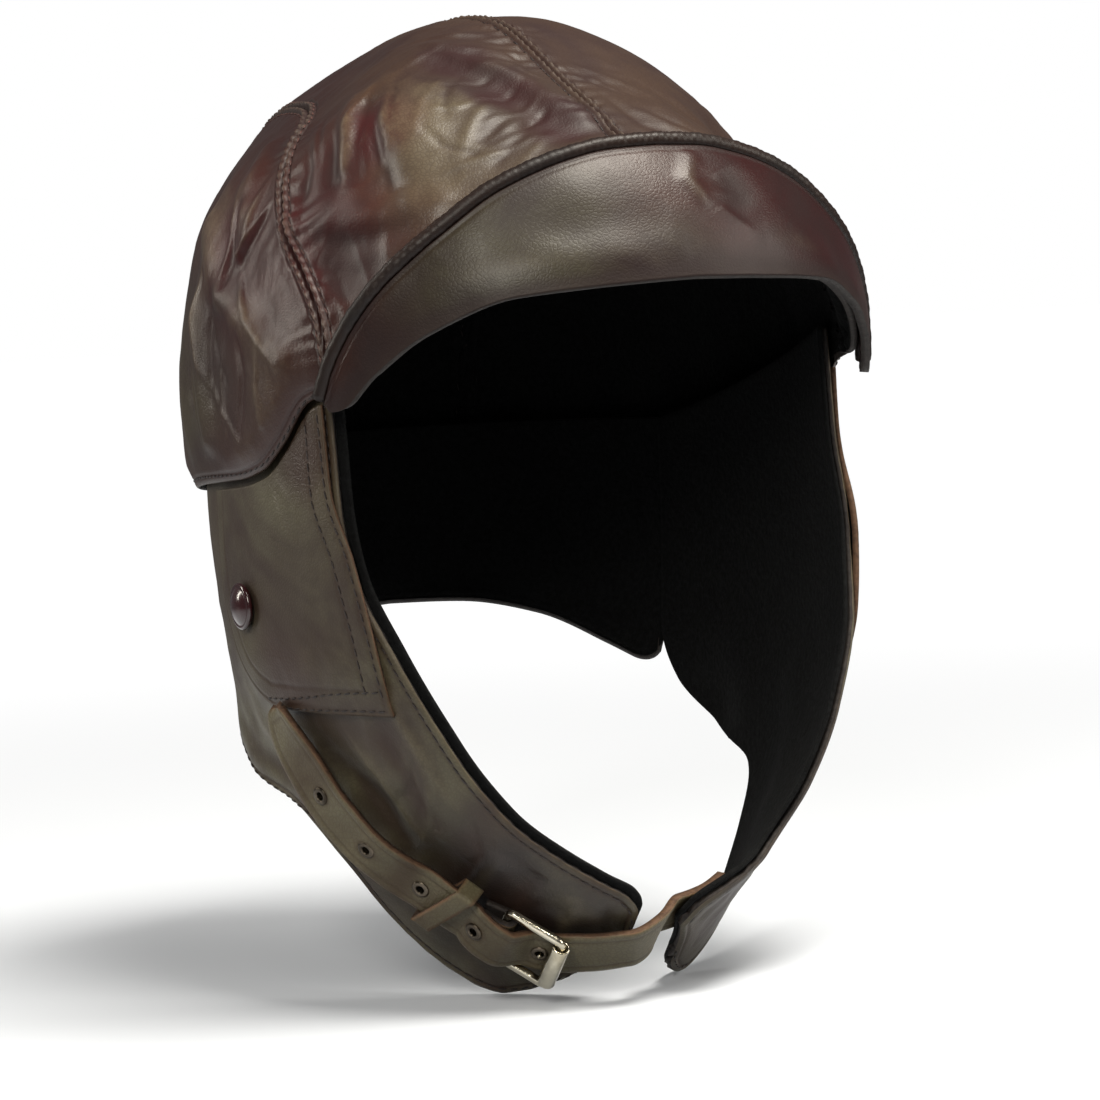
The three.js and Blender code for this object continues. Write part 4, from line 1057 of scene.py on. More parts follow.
def patch_relief(side):
    surface = patch_surface(side)
    lines = [line_of(surface, "u", 0), line_of(surface, "v", 1), line_of(surface, "u", 1)]

    def masks(points, u, v):
        gap = gap_to(points, lines)
        fine = 0.5 * wander(points, 16, 3 + side) + crumple(points, 6, 0.14, 2)
        rows = sum(bump_at(gap, row, 0.5) for row in PATCH_ROWS)
        return {"height": fine * smooth(gap, 2, 9) - 0.25 * rows - 0.45 * bump_at(gap, 0, 0.6),
                "fold": np.clip(fine, -1, 1), "seam": 0.7 * rows, "worn": bump_at(gap, 0, 0.8)}
    return masks


for name, side in SIDES:
    sheet(f"ear_patch_leather_{name}", patch_surface(side), PATCH_GRID, "flap_leather",
          (f"ear_patch_{name}",), patch_relief(side), wall=PATCH_WALL, lift=PATCH_LIFT)

# %% [markdown]
# ## Small turned parts
# A snap cap, an eyelet and a roller are all round. Each is a profile of a few points, spun once
# about its axis, then moved to its seat by one matrix made of a place and three directions.


# %% Turned parts and their seats
def turned(profile, sides=32):
    bm = bmesh.new()
    verts = [bm.verts.new((radius, 0, height)) for radius, height in profile]
    edges = [bm.edges.new(pair) for pair in zip(verts, verts[1:])]
    bmesh.ops.spin(bm, geom=verts + edges, axis=(0, 0, 1), cent=(0, 0, 0), angle=2 * math.pi,
                   steps=sides, use_merge=True)
    bmesh.ops.remove_doubles(bm, verts=bm.verts, dist=1e-4)
    bmesh.ops.recalc_face_normals(bm, faces=bm.faces)
    return bm


def seat(point, ahead, across, out):
    axes = Matrix([Vector(axis) for axis in (ahead, across, out)]).transposed().to_4x4()
    return Matrix.Translation(Vector(point) * MM) @ axes @ Matrix.Scale(MM, 4)


# %% Snap caps
SNAP_WIDTH = 12.6
SNAP_HEIGHT = 3
SNAP_AZIMUTH = 91
SNAP_DROP = 0.589
CAP = SNAP_WIDTH / 2
cap_profile = [
    (0, 0), (0.94 * CAP, 0), (CAP, 0.5), (CAP, 1.1), (0.95 * CAP, 1.5), (0.88 * CAP, 1.62),
    (0.82 * CAP, 1.5), (0.78 * CAP, 1.62), (0.66 * CAP, 2.15), (0.45 * CAP, 2.65),
    (0.22 * CAP, 2.92), (0, SNAP_HEIGHT),
]
for name, side in SIDES:
    point = skin(side * SNAP_AZIMUTH, SNAP_DROP)
    out = normal_of(skin, side * SNAP_AZIMUTH, SNAP_DROP, 0.5, 0.004)
    out = out * np.sign(out[0] * side)
    level = unit(np.cross((0, 0, 1), out))
    cap = turned(cap_profile, 40)
    cap.transform(seat(point + out * (PATCH_WALL + 4 * CLEAR), level, np.cross(out, level), out))
    finished(cap, f"snap_cap_{name}", "snap_paint", f"snap_{name}")

# %% [markdown]
# ## Chin strap
# The strap is one flat strip that bends only along its length. Its root is sewn inside the left
# flap, it comes round under the chin, passes the buckle and runs up the right cheek to a loose
# end. It is made flat first, with its holes punched, and then every point is carried to its place
# by axes that travel along the route. That keeps its width true wherever it turns.

# %% Route of the strap over the leather
# Its root, buckle, keeper and tail lie along it, in millimetres from the root
STRAP_WIDTH = 15
FRAME_LENGTH = 15
CHAPE_TAIL = 6.6
KEEPER_WIDTH = 5.6
TAIL_REACH = 98
TAIL_POINT = 12
FIRST_HOLE = 4
HOLE_PITCH = 17
HOLES = 5
STRAP = table(
    "azimuth drop",
    (26, 0.915), (15, 0.922), (7, 0.926), (-7, 0.929), (-16, 0.932), (-24, 0.932),
    (-34.5, 0.918), (-42.5, 0.895), (-53, 0.864), (-64, 0.822), (-73.5, 0.765), (-80, 0.708),
    (-84, 0.645),
)
STRAP["at"] = run_along(skin(STRAP["azimuth"], STRAP["drop"]))
LEAVES_AT, ARRIVES_AT, ROLLER_AT = STRAP["at"][[2, 3, 5]]
HEEL_AT = ROLLER_AT + FRAME_LENGTH
KEEPER_AT = HEEL_AT + CHAPE_TAIL + 1.5 * KEEPER_WIDTH
TAIL_AT = ROLLER_AT + TAIL_REACH
hole_places = ROLLER_AT + FIRST_HOLE + HOLE_PITCH * np.arange(HOLES)
print("strap", round(float(TAIL_AT)), "mm from root to tip")

# %% Height of the strap over what it passes
STRAP_WALL = 2.2
CHAPE_WALL = 1.6
FRAME_BAR = 2.2
PRONG = 1.4
ROLLER_WIDTH = 4.8
KEEPER_WALL = 1.6
HALF_STRAP = STRAP_WALL / 2
HEEL_HEIGHT = CLEAR + CHAPE_WALL + CLEAR + FRAME_BAR / 2
OVER_HEEL = HEEL_HEIGHT + FRAME_BAR / 2 + CLEAR + CHAPE_WALL + 2 * CLEAR + HALF_STRAP
OVER_CHAPE = OVER_HEEL - CHAPE_WALL + 2 * CLEAR
UNDER_ROLLER = CLEAR + PRONG + CLEAR + HALF_STRAP + CLEAR
ROLLER_HEIGHT = UNDER_ROLLER + HALF_STRAP + 2 * CLEAR + ROLLER_WIDTH / 2
KEEPER_STAND = 1.4
IN_KEEPER = KEEPER_WALL + HALF_STRAP + 5 * CLEAR + KEEPER_STAND
OVER_PATCH = PATCH_WALL + HALF_STRAP + 4 * CLEAR
TAIL_STAND = OVER_PATCH + 2
INSIDE = -(LEATHER + CLEAR + LINING + CLEAR + HALF_STRAP + 2 * CLEAR)
STRAP_HEIGHTS = table(
    "at height",
    (0, INSIDE), (LEAVES_AT, INSIDE), (ARRIVES_AT, UNDER_ROLLER),
    (ROLLER_AT + 1.5 * FIRST_HOLE, UNDER_ROLLER), (HEEL_AT - FRAME_BAR / 2, OVER_HEEL),
    (HEEL_AT + FRAME_BAR, OVER_HEEL), (HEEL_AT + CHAPE_TAIL, OVER_CHAPE),
    (KEEPER_AT - KEEPER_WIDTH, IN_KEEPER), (KEEPER_AT + KEEPER_WIDTH, IN_KEEPER),
    (KEEPER_AT + 3 * KEEPER_WIDTH, TAIL_STAND), (TAIL_AT - 2 * HOLE_PITCH, TAIL_STAND),
    (TAIL_AT, OVER_PATCH),
)


# %% Axes that travel along the strap
def strap_skin(at):
    return skin(along(STRAP, "at", "azimuth", at), along(STRAP, "at", "drop", at))


def station(at):
    azimuth, drop = along(STRAP, "at", "azimuth", at), along(STRAP, "at", "drop", at)
    out = normal_of(skin, azimuth, drop, 1.5, 0.01)
    out = out * np.sign(np.sum(out * direction(azimuth, 0), -1))[..., None]
    ahead = unit(strap_skin(at + 1.5) - strap_skin(at - 1.5))
    across = unit(np.cross(out, ahead))
    return strap_skin(at), ahead, across, np.cross(ahead, across)


def strap_middle(at):
    point, _, _, out = station(at)
    return point + out * along(STRAP_HEIGHTS, "at", "height", at)[..., None]


def strap_frame(at):
    at = np.asarray(at, float)
    across = station(at)[2]
    ahead = unit(strap_middle(at + 1) - strap_middle(at - 1))
    side = unit(across - ahead * np.sum(across * ahead, -1)[..., None])
    return strap_middle(at), ahead, side, np.cross(ahead, side)


def half_width(at):
    left = np.clip((TAIL_AT - at) / TAIL_POINT, 0, 1)
    return STRAP_WIDTH / 2 * mix(0.22, 1, np.sqrt(1 - (1 - left) ** 2))


# %% Punched strip, carried to its place
EYELET_BORE = 2.2
PUNCH = EYELET_BORE / 2 + 0.45
EDGE_LINE = 2.6
STRAP_CELL = 0.62


def punched(length, width, cell, holes, radius):
    bm = bmesh.new()
    bmesh.ops.create_grid(bm, x_segments=round(length / cell), y_segments=round(width / cell), size=0.5)
    for vert in bm.verts:
        vert.co = ((vert.co.x + 0.5) * length, vert.co.y * width, 0)
    for at in holes:
        centre = Vector((at, 0, 0))
        cut = [face for face in bm.faces if (face.calc_center_median() - centre).length < radius]
        bmesh.ops.delete(bm, geom=cut, context="FACES")
        for vert in bm.verts:
            gap = vert.co - centre
            if vert.is_boundary and gap.length < radius + cell and abs(vert.co.y) < width / 3:
                vert.co = centre + gap.normalized() * radius
    return bm


def carried(bm, name, place, slot, nodes, wall):
    flat = np.array([vert.co[:2] for vert in bm.verts])
    points, masks, out = place(*flat.T)
    for vert, point in zip(bm.verts, points * MM):
        vert.co = point
    face_out(bm, out, 0)
    walled(bm, name, slot, nodes, masks, wall)


def on_strap(at, y):
    share = y / (STRAP_WIDTH / 2)
    point, ahead, across, out = strap_frame(at)
    aside = share * half_width(at)
    edge = np.minimum(half_width(at) - np.abs(aside), (TAIL_AT - at) * 0.8)
    wave = 0.35 * wander(point, 16, 6) + 0.15 * wander(point, 6, 2)
    pressed = 0.5 * bump_at(np.abs(at - ROLLER_AT - FIRST_HOLE - HOLE_PITCH), 0, 5) * (1 - share**2)
    free = smooth(at, KEEPER_AT + KEEPER_WIDTH, KEEPER_AT + 3 * KEEPER_WIDTH)
    pressed_line = bump_at(edge, EDGE_LINE, 0.4)
    cup = 0.7 * share**2 * free - 0.45 * bump_at(edge, 0, 0.55) - 0.22 * pressed_line
    height = HALF_STRAP + cup + wave * (0.25 + 0.55 * free) - 0.2 * pressed
    hole = np.min(np.abs(at[:, None] - hole_places), axis=1)
    ring = np.hypot(hole, aside)
    masks = {"fold": np.clip(wave / 0.3, -1, 1),
             "seam": 0.8 * bump_at(ring, EYELET_BORE / 2 + 1, 0.9) + 0.6 * pressed_line,
             "worn": bump_at(edge, 0, 0.35)}
    return point + across * aside[:, None] + out * height[:, None], masks, out


strap = punched(TAIL_AT, STRAP_WIDTH, STRAP_CELL, hole_places, PUNCH)
carried(strap, "chin_strap_leather", on_strap, "strap_leather", ("chin_strap",), STRAP_WALL)

# %% Eyelets in the strap's holes
EYELET_WALL = 0.9
BORE = EYELET_BORE / 2
FLANGE = BORE + EYELET_WALL
eyelet_profile = [
    (BORE, -HALF_STRAP), (BORE, HALF_STRAP + 0.1), (BORE + 0.12, HALF_STRAP + 0.35),
    (BORE + 0.4, HALF_STRAP + 0.5), (FLANGE + 0.2, HALF_STRAP + 0.4), (FLANGE + 0.5, HALF_STRAP + 0.15),
    (FLANGE + 0.5, HALF_STRAP - 0.1), (BORE + 0.35, HALF_STRAP - 0.1), (BORE + 0.35, -HALF_STRAP),
    (BORE, -HALF_STRAP),
]
eyelets = bmesh.new()
for at in hole_places:
    ring = turned(eyelet_profile, 24)
    ring.transform(seat(*strap_frame(at)))
    ring_mesh = mesh_of(ring, "ring")
    eyelets.from_mesh(ring_mesh)
    bpy.data.meshes.remove(ring_mesh)
finished(eyelets, "strap_eyelet_rings", "eyelet_metal", *(f"eyelet_{i + 1}" for i in range(HOLES)))

# %% [markdown]
# ## Roller buckle and keeper
# The frame is a bar bent into a rounded rectangle, so it is a rod swept round a closed line. Its
# section is squarish with soft corners, as on stamped buckles. A roller turns on the front bar,
# and the prong hooks round the heel bar, passes under the strap and comes up through a hole.

# %% Axes of the buckle
FRAME_EASE = 1.1
heel_point, heel_ahead, heel_across, heel_out = station(HEEL_AT)
front_point, _, front_across, front_out = station(ROLLER_AT)
heel_axis = heel_point + heel_out * HEEL_HEIGHT
roller_axis = front_point + front_out * ROLLER_HEIGHT
frame_length = np.linalg.norm(roller_axis - heel_axis)
frame_ahead = (roller_axis - heel_axis) / frame_length
frame_across = heel_across + front_across
frame_across = unit(frame_across - frame_ahead * (frame_across @ frame_ahead))
frame_out = np.cross(frame_ahead, frame_across)
if frame_out @ heel_out < 0:
    frame_across, frame_out = -frame_across, -frame_out
buckle_half = STRAP_WIDTH / 2 + FRAME_EASE + FRAME_BAR / 2
print("buckle", round(float(frame_length), 1), "mm between its bars")

# %% Buckle frame
FRAME_CORNER = 1.8


def rounded_loop(low, high, half, radius, steps=7):
    corners = ((high, half, 0), (low, half, 90), (low, -half, 180), (high, -half, 270))
    spots = []
    for x, y, start in corners:
        centre = np.array([x - math.copysign(radius, x - (low + high) / 2), y - math.copysign(radius, y)])
        for turn in np.radians(np.linspace(start, start + 90, steps)):
            spots.append(centre + radius * np.array([math.cos(turn), math.sin(turn)]))
    return np.array(spots)


def divided(loop, parts):
    return np.concatenate([np.linspace(a, b, parts + 1)[:-1] for a, b in zip(loop, np.roll(loop, -1, 0))])


loop = divided(rounded_loop(0, frame_length, buckle_half, FRAME_CORNER), 4)
frame_line = heel_axis + loop[:, :1] * frame_ahead + loop[:, 1:] * frame_across
rod("nickel_buckle_frame", frame_line, FRAME_BAR / 2, 16, "buckle_metal", ("buckle_frame",),
    closed=True, faces=np.broadcast_to(frame_out, frame_line.shape), square=0.62)

# %% Roller on the front bar
ROLL = ROLLER_WIDTH / 2
ROLLER_HALF = STRAP_WIDTH / 2 + FRAME_EASE - CLEAR
roller_end = [(ROLL - 0.6, 0), (ROLL - 0.3, 0.02), (ROLL - 0.1, 0.14), (ROLL, 0.4)]
roller_profile = [(radius, step - ROLLER_HALF) for radius, step in roller_end]
roller_profile += [(radius, ROLLER_HALF - step) for radius, step in reversed(roller_end)]
roller = turned(roller_profile + roller_profile[:1], 36)
roller.transform(seat(roller_axis, frame_out, frame_ahead, frame_across))
finished(roller, "nickel_roller", "buckle_metal", "buckle_roller")


# %% Prong
def over_leather(step, height):
    point, _, _, out = station(HEEL_AT + step)
    return point + out * height


def threaded(points, count):
    points = np.array(points)
    line = dict(zip("xyz", points.T), at=run_along(points))
    at = np.linspace(0, line["at"][-1], count)
    return np.stack([along(line, "at", axis, at) for axis in "xyz"], -1)


PRONG_RINGS = 60
PRONG_TAPER = 12
under = PRONG / 2 + CLEAR
hole_step = FIRST_HOLE - FRAME_LENGTH
prong_points = [
    over_leather(hole_step, UNDER_ROLLER + STRAP_WALL / 2 + 1.2), over_leather(hole_step, under + 1.4),
    over_leather(hole_step + 1.2, under), over_leather(hole_step * 0.65, under),
    over_leather(-5, under), over_leather(-3.4, under + 0.3),
]
hook = FRAME_BAR / 2 + CLEAR + PRONG / 2
for turn in np.radians(np.linspace(200, 20, 9)):
    prong_points.append(heel_axis + hook * (heel_ahead * math.cos(turn) + heel_out * math.sin(turn)))
prong_line = threaded(prong_points, PRONG_RINGS)
prong_radius = PRONG / 2 * mix(0.7, 1, smooth(np.arange(PRONG_RINGS), 0, PRONG_TAPER))
rod("nickel_prong", prong_line, prong_radius, 10, "buckle_metal", ("buckle_prong",))

# %% Chape: a leather fold round the heel bar, slotted for the prong
RISE = FRAME_BAR / 2 + CLEAR + CHAPE_WALL
SLOT = PRONG + 4 * CLEAR
chape_out = unit(heel_out - frame_across * (heel_out @ frame_across))
chape_ahead = np.cross(frame_across, chape_out)
chape_ahead = chape_ahead * np.sign(chape_ahead @ heel_ahead)
turns = np.radians(np.linspace(-90, -270, 25))
fold_line = np.array([(share * CHAPE_TAIL, -RISE) for share in (1, 0.75, 0.35)]
                     + [(RISE * math.cos(turn), RISE * math.sin(turn)) for turn in turns]
                     + [(0.4 * CHAPE_TAIL, RISE - 0.25), (CHAPE_TAIL, RISE - CHAPE_WALL + 0.3)])
fold_table = dict(zip("xy", fold_line.T), at=run_along(fold_line))
fold_length = float(fold_table["at"][-1])


def on_chape(at, y):
    x, rise = (np.interp(at, fold_table["at"], fold_table[axis]) for axis in "xy")
    points = heel_axis + x[:, None] * chape_ahead + rise[:, None] * chape_out + y[:, None] * frame_across
    away = unit(x[:, None] * chape_ahead * (x < 0)[:, None] + rise[:, None] * chape_out)
    edge = STRAP_WIDTH / 2 - CLEAR - np.abs(y)
    masks = {"fold": 0.5 * wander(points, 5, 1), "seam": 0 * y, "worn": bump_at(edge, 0, 0.4)}
    return points, masks, away


def in_slot(face):
    middle = face.calc_center_median()
    return abs(middle.y) < SLOT / 2 and 0.28 < middle.x / fold_length < 0.72


CHAPE_CELL = 0.6
chape = punched(fold_length, STRAP_WIDTH - 2 * CLEAR, CHAPE_CELL, (), 0)
bmesh.ops.delete(chape, geom=[face for face in chape.faces if in_slot(face)], context="FACES")
carried(chape, "buckle_chape_leather", on_chape, "strap_leather", ("buckle_chape",), CHAPE_WALL)

# %% Keeper: a leather band round the strap, worn a little askew
KEEPER_SKEW = 18
keeper_point, _, keeper_across, keeper_out = strap_frame(KEEPER_AT)
keeper_back = np.cross(keeper_across, keeper_out)
KEEPER_WIDE = STRAP_WIDTH / 2 + 2 * CLEAR + KEEPER_WALL
KEEPER_TALL = HALF_STRAP + 3 * CLEAR + KEEPER_WALL
LEAN = math.tan(math.radians(KEEPER_SKEW))
KEEPER_CORNER = 1.4
outline = divided(rounded_loop(-KEEPER_WIDE, KEEPER_WIDE, KEEPER_TALL, KEEPER_CORNER), 3)
band = bmesh.new()
ring = bmesh.ops.create_circle(band, cap_ends=False, radius=1, segments=len(outline))["verts"]
edges = list(band.edges)
bulge = (0.0, 0.12, 0.16, 0.16, 0.12, 0.0)
for i, rise in enumerate(bulge):
    if i:
        ring, edges = next_ring(band, edges)
    step = KEEPER_WIDTH * (i / (len(bulge) - 1) - 0.5)
    for vert, (x, y) in zip(ring, outline):
        swollen = y + math.copysign(rise, y) * (1 - (x / KEEPER_WIDE) ** 4)
        spot = keeper_point + x * keeper_across + swollen * keeper_out
        vert.co = Vector((spot + (step + LEAN * x) * keeper_back) * MM)
bmesh.ops.recalc_face_normals(band, faces=band.faces)
keeper_piece = finished(band, "keeper_loop_leather", "strap_leather", "keeper_loop")
keeper_spots = np.array([vert.co for vert in keeper_piece.data.vertices]) / MM
keeper_step = np.abs((keeper_spots - keeper_point) @ (keeper_back - LEAN * keeper_across))
give(keeper_piece.data, {"fold": 0.6 * wander(keeper_spots, 4, 2), "seam": 0 * keeper_step,
                         "worn": bump_at(keeper_step, KEEPER_WIDTH / 2, 0.4)})
harden(keeper_piece, KEEPER_WALL)

# %% [markdown]
# ## Stitches
# Thread lies in its groove as a row of short beads. One bead is a small sphere of a few faces,
# stretched along the row and a little slanted, as a lockstitch lies. A row is given as an edge of
# a piece and a distance from it, and the beads are laid on the finished surface, folds included.

# %% Rows of stitches
STITCH_LENGTH = 2.7
THREAD = 0.55
SLANT = math.radians(7)


def sewn(surface, relief_of, lift, fixed, value, inset, start=0.01, end=0.99):
    t = np.linspace(start, end, 300)

    def pair(other):
        return (other, t) if fixed == "u" else (t, other)

    held = np.full_like(t, float(value))
    step = 0.01 if value < 0.5 else -0.01
    span = size_of(surface(*pair(held + step)) - surface(*pair(held)))
    inner = held + step * inset / span
    run = run_along(surface(*pair(inner)))
    places = (np.arange(int(run[-1] / STITCH_PITCH)) + 0.5) * STITCH_PITCH
    u, v = (np.interp(places, run, values) for values in pair(inner))
    points, out, _ = laid(surface, relief_of, lift, u, v)
    return points, unit(np.gradient(points, axis=0)), out


def stitches(name, slot, *rows):
    bm = bmesh.new()
    for row in rows:
        for point, ahead, out in zip(*sewn(*row)):
            across = np.cross(out, ahead)
            turned_ahead = ahead * math.cos(SLANT) + across * math.sin(SLANT)
            lie = seat(point + out * THREAD * 0.2, turned_ahead, np.cross(out, turned_ahead), out)
            shape = Matrix.Diagonal((STITCH_LENGTH, THREAD, THREAD * 0.9, 1))
            bmesh.ops.create_uvsphere(bm, u_segments=6, v_segments=4, radius=0.5, matrix=lie @ shape)
    finished(bm, name, slot)


# %% Stitches of the crown
for name, side in SIDES:
    top, low = crown_top(side), crown_side(side)
    top_relief, low_relief = crown_relief(side, True), crown_relief(side, False)
    stitches(f"centre_seam_stitches_{name}", "crown_leather", (top, top_relief, 0, "v", 0, SEAM_ROW))
    stitches(f"side_seam_stitches_{name}", "crown_leather",
             (top, top_relief, 0, "v", 1, SEAM_ROW), (low, low_relief, 0, "v", 1, SEAM_ROW))
    stitches(f"crown_hem_stitches_{name}", "crown_leather", (low, low_relief, 0, "v", 0, SEAM_ROW))

# %% Stitches of the flaps, patches and neck guard
for name, side in SIDES:
    flap, patch = flap_surface(side), patch_surface(side)
    folds, sewing = flap_relief(side), patch_relief(side)
    stitches(f"flap_stitches_{name}", "flap_leather",
             *((flap, folds, 0, "v", edge, EDGE_ROW) for edge in (0, 1)))
    stitches(f"patch_stitches_{name}", "flap_leather",
             *((patch, sewing, PATCH_LIFT, "u", 0, row, 0.02, 0.965) for row in PATCH_ROWS),
             *((patch, sewing, PATCH_LIFT, "v", 1, row, 0.03, 0.97) for row in PATCH_ROWS))
stitches("guard_stitches", "flap_leather", (guard_surface, guard_relief, 0, "v", 1, EDGE_ROW))

# %% [markdown]
# ## Materials
# Every finish is procedural. Effects that several finishes share are node groups: the grain of the
# leather, and its tone, which goes dark along seams, is darkened in valleys as painted shade, is
# lightened on ridges as a painted sheen, and takes the edge's colour where it is worn. The groups
# read masks that were stored on the meshes, so colour and shape agree.


# %% Node helpers
# An input is given by its name, or as i and its number where names repeat
def shade(red, green, blue):
    linear = [(value / 255 + 0.055) / 1.055 for value in (red, green, blue)]
    return [value**2.4 for value in linear] + [1]


def add(tree, kind, settings=None, **inputs):
    made = tree.nodes.new("ShaderNode" + kind)
    for name, value in (settings or {}).items():
        setattr(made, name, value)
    for name, value in inputs.items():
        numbered = name[0] == "i" and name[1:].isdigit()
        socket = made.inputs[int(name[1:]) if numbered else name]
        if isinstance(value, bpy.types.NodeSocket):
            tree.links.new(value, socket)
        else:
            socket.default_value = value
    return made


def maths(tree, operation, first, second=0.0, clamp=False):
    settings = {"operation": operation, "use_clamp": clamp}
    return add(tree, "Math", settings, i0=first, i1=second).outputs[0]


def blend(tree, share, low, high):
    settings = {"data_type": "RGBA", "clamp_factor": True}
    return add(tree, "Mix", settings, i0=share, i6=low, i7=high).outputs[2]


def spread(tree, value, low, high, start=0.0, end=1.0):
    settings = {"interpolation_type": "SMOOTHSTEP"}
    return add(tree, "MapRange", settings, i0=value, i1=low, i2=high, i3=start, i4=end).outputs[0]


def rough_noise(tree, place, scale, detail=3.0, roughness=0.55, distortion=0.0):
    return add(tree, "TexNoise", None, Vector=place, Scale=scale, Detail=detail,
               Roughness=roughness, Distortion=distortion).outputs[0]


def group(name, sockets, outputs):
    tree = bpy.data.node_groups.new(name, "ShaderNodeTree")
    for label, kind, value in sockets:
        socket = tree.interface.new_socket(label, in_out="INPUT", socket_type="NodeSocket" + kind)
        if value is not None:
            socket.default_value = value
    for label, kind in outputs:
        tree.interface.new_socket(label, in_out="OUTPUT", socket_type="NodeSocket" + kind)
    return tree, tree.nodes.new("NodeGroupInput").outputs, tree.nodes.new("NodeGroupOutput").inputs


def placed(tree, group_tree, **inputs):
    return add(tree, "Group", {"node_tree": group_tree}, **inputs).outputs


# %% Grain of leather
# Cells about a millimetre wide, finer pores in them, and slow lumps under both
grain, given, result = group("leather_grain", [
    ("Vector", "Vector", None), ("Cells", "Float", 900.0), ("Lumps", "Float", 90.0)],
    [("Height", "Float"), ("Pores", "Float")])
push = add(grain, "TexNoise", None, Vector=given["Vector"], Scale=260.0).outputs["Color"]
push = add(grain, "VectorMath", {"operation": "SCALE"}, i0=push, Scale=0.0012).outputs[0]
bent = add(grain, "VectorMath", {"operation": "ADD"}, i0=given["Vector"], i1=push).outputs[0]
cells = add(grain, "TexVoronoi", {"feature": "DISTANCE_TO_EDGE"}, Vector=bent,
            Scale=given["Cells"]).outputs["Distance"]
pebbles = spread(grain, cells, 0.0, 0.25)
pores = rough_noise(grain, given["Vector"], 2600.0, 2.0)
lumps = rough_noise(grain, given["Vector"], given["Lumps"], 5.0, 0.5, 0.6)
height = maths(grain, "ADD", maths(grain, "MULTIPLY", pebbles, 0.28), maths(grain, "MULTIPLY", pores, 0.12))
grain.links.new(maths(grain, "ADD", height, lumps), result["Height"])
grain.links.new(pebbles, result["Pores"])

# %% Tone of leather
# Clouds take the deep colour, and so do valleys as painted shade; ridges take the light one as a
# painted sheen; worn edges take the edge's colour, which also gives seam beads a painted highlight
# and the peak's fold a painted shade line
tone, given, result = group("leather_tone", [
    ("Vector", "Vector", None), ("Fold", "Float", 0.0), ("Seam", "Float", 0.0), ("Worn", "Float", 0.0),
    ("Pores", "Float", 1.0), ("Base", "Color", None), ("Deep", "Color", None), ("Light", "Color", None),
    ("Edge", "Color", None), ("Gloss", "Float", 0.4)],
    [("Color", "Color"), ("Roughness", "Float")])
cloud = rough_noise(tone, given["Vector"], 22.0, 4.0, 0.6, 0.8)
speck = rough_noise(tone, given["Vector"], 320.0, 3.0, 0.6)
valley = spread(tone, maths(tone, "MULTIPLY", given["Fold"], -1.0), 0.0, 0.8)
ridge = spread(tone, given["Fold"], 0.05, 0.9)
color = blend(tone, spread(tone, cloud, 0.35, 0.75), given["Base"], given["Deep"])
# Painted shade: the valleys of the folds take the deep colour
color = blend(tone, maths(tone, "MULTIPLY", valley, 0.75), color, given["Deep"])
# Painted sheen: the ridges of the folds take the light colour, in specks
painted_sheen = maths(tone, "MULTIPLY", ridge, spread(tone, speck, 0.3, 0.7, 0.35, 0.8))
color = blend(tone, painted_sheen, color, given["Light"])
color = blend(tone, spread(tone, given["Pores"], 0.0, 1.0, 0.22, 0.0), color, given["Deep"])
color = blend(tone, maths(tone, "MULTIPLY", given["Seam"], 0.85, True), color, given["Deep"])
# Worn edges take the edge's colour; on the crown's seam beads this is a painted highlight, and along the
# peak's fold a painted shade line
wear_and_painted_light_share = maths(tone, "MULTIPLY", given["Worn"], spread(tone, speck, 0.35, 0.65, 0.3, 1.0), True)
color = blend(tone, wear_and_painted_light_share, color, given["Edge"])
tone.links.new(color, result["Color"])
matt = maths(tone, "ADD", given["Gloss"], spread(tone, cloud, 0.3, 0.7, -0.05, 0.08))
matt = maths(tone, "ADD", matt, maths(tone, "MULTIPLY", valley, 0.1))
matt = maths(tone, "ADD", matt, maths(tone, "MULTIPLY", given["Seam"], 0.12))
tone.links.new(maths(tone, "ADD", matt, maths(tone, "MULTIPLY", given["Worn"], 0.15)), result["Roughness"])


# %% Materials from the groups
GRAIN_DEPTH = 0.0009


def material(name, metallic=0.0, specular=0.5, coat=0.0, coat_roughness=0.2):
    made = bpy.data.materials.new(name)
    made.use_nodes = True
    tree = made.node_tree
    shader = tree.nodes["Principled BSDF"]
    shader.inputs["Metallic"].default_value = metallic
    shader.inputs["Specular IOR Level"].default_value = specular
    shader.inputs["Coat Weight"].default_value = coat
    shader.inputs["Coat Roughness"].default_value = coat_roughness
    place = tree.nodes.new("ShaderNodeTexCoord").outputs["Object"]
    return made, tree, shader, place


def relieved(tree, shader, height, strength, distance):
    made = add(tree, "Bump", None, Strength=strength, Distance=distance, Height=height)
    tree.links.new(made.outputs[0], shader.inputs["Normal"])


def mask(tree, name):
    return add(tree, "Attribute", {"attribute_name": name}).outputs["Fac"]


# %% Leather with tinted patches, many of them painted sheen and shade
# Each tint lays another colour round a place on the helmet, and many of them are a painted sheen
# where the lamps light the leather and painted shade where they leave it dark. It is full as far as
# its near distance and gone at its far one, in millimetres, with a ragged edge.
TINT_RAGGED = 0.03
TINT_SCALE = 26.0


def tinted(tree, place, color, tints):
    ragged = maths(tree, "MULTIPLY", rough_noise(tree, place, TINT_SCALE), TINT_RAGGED)
    for centre, near, far, other in tints:
        away = add(tree, "VectorMath", {"operation": "DISTANCE"}, i0=place, i1=np.array(centre) * MM)
        gap = maths(tree, "ADD", away.outputs["Value"], maths(tree, "SUBTRACT", ragged, TINT_RAGGED / 2))
        color = blend(tree, spread(tree, gap, near * MM, far * MM, 1.0, 0.0), color, shade(*other))
    return color


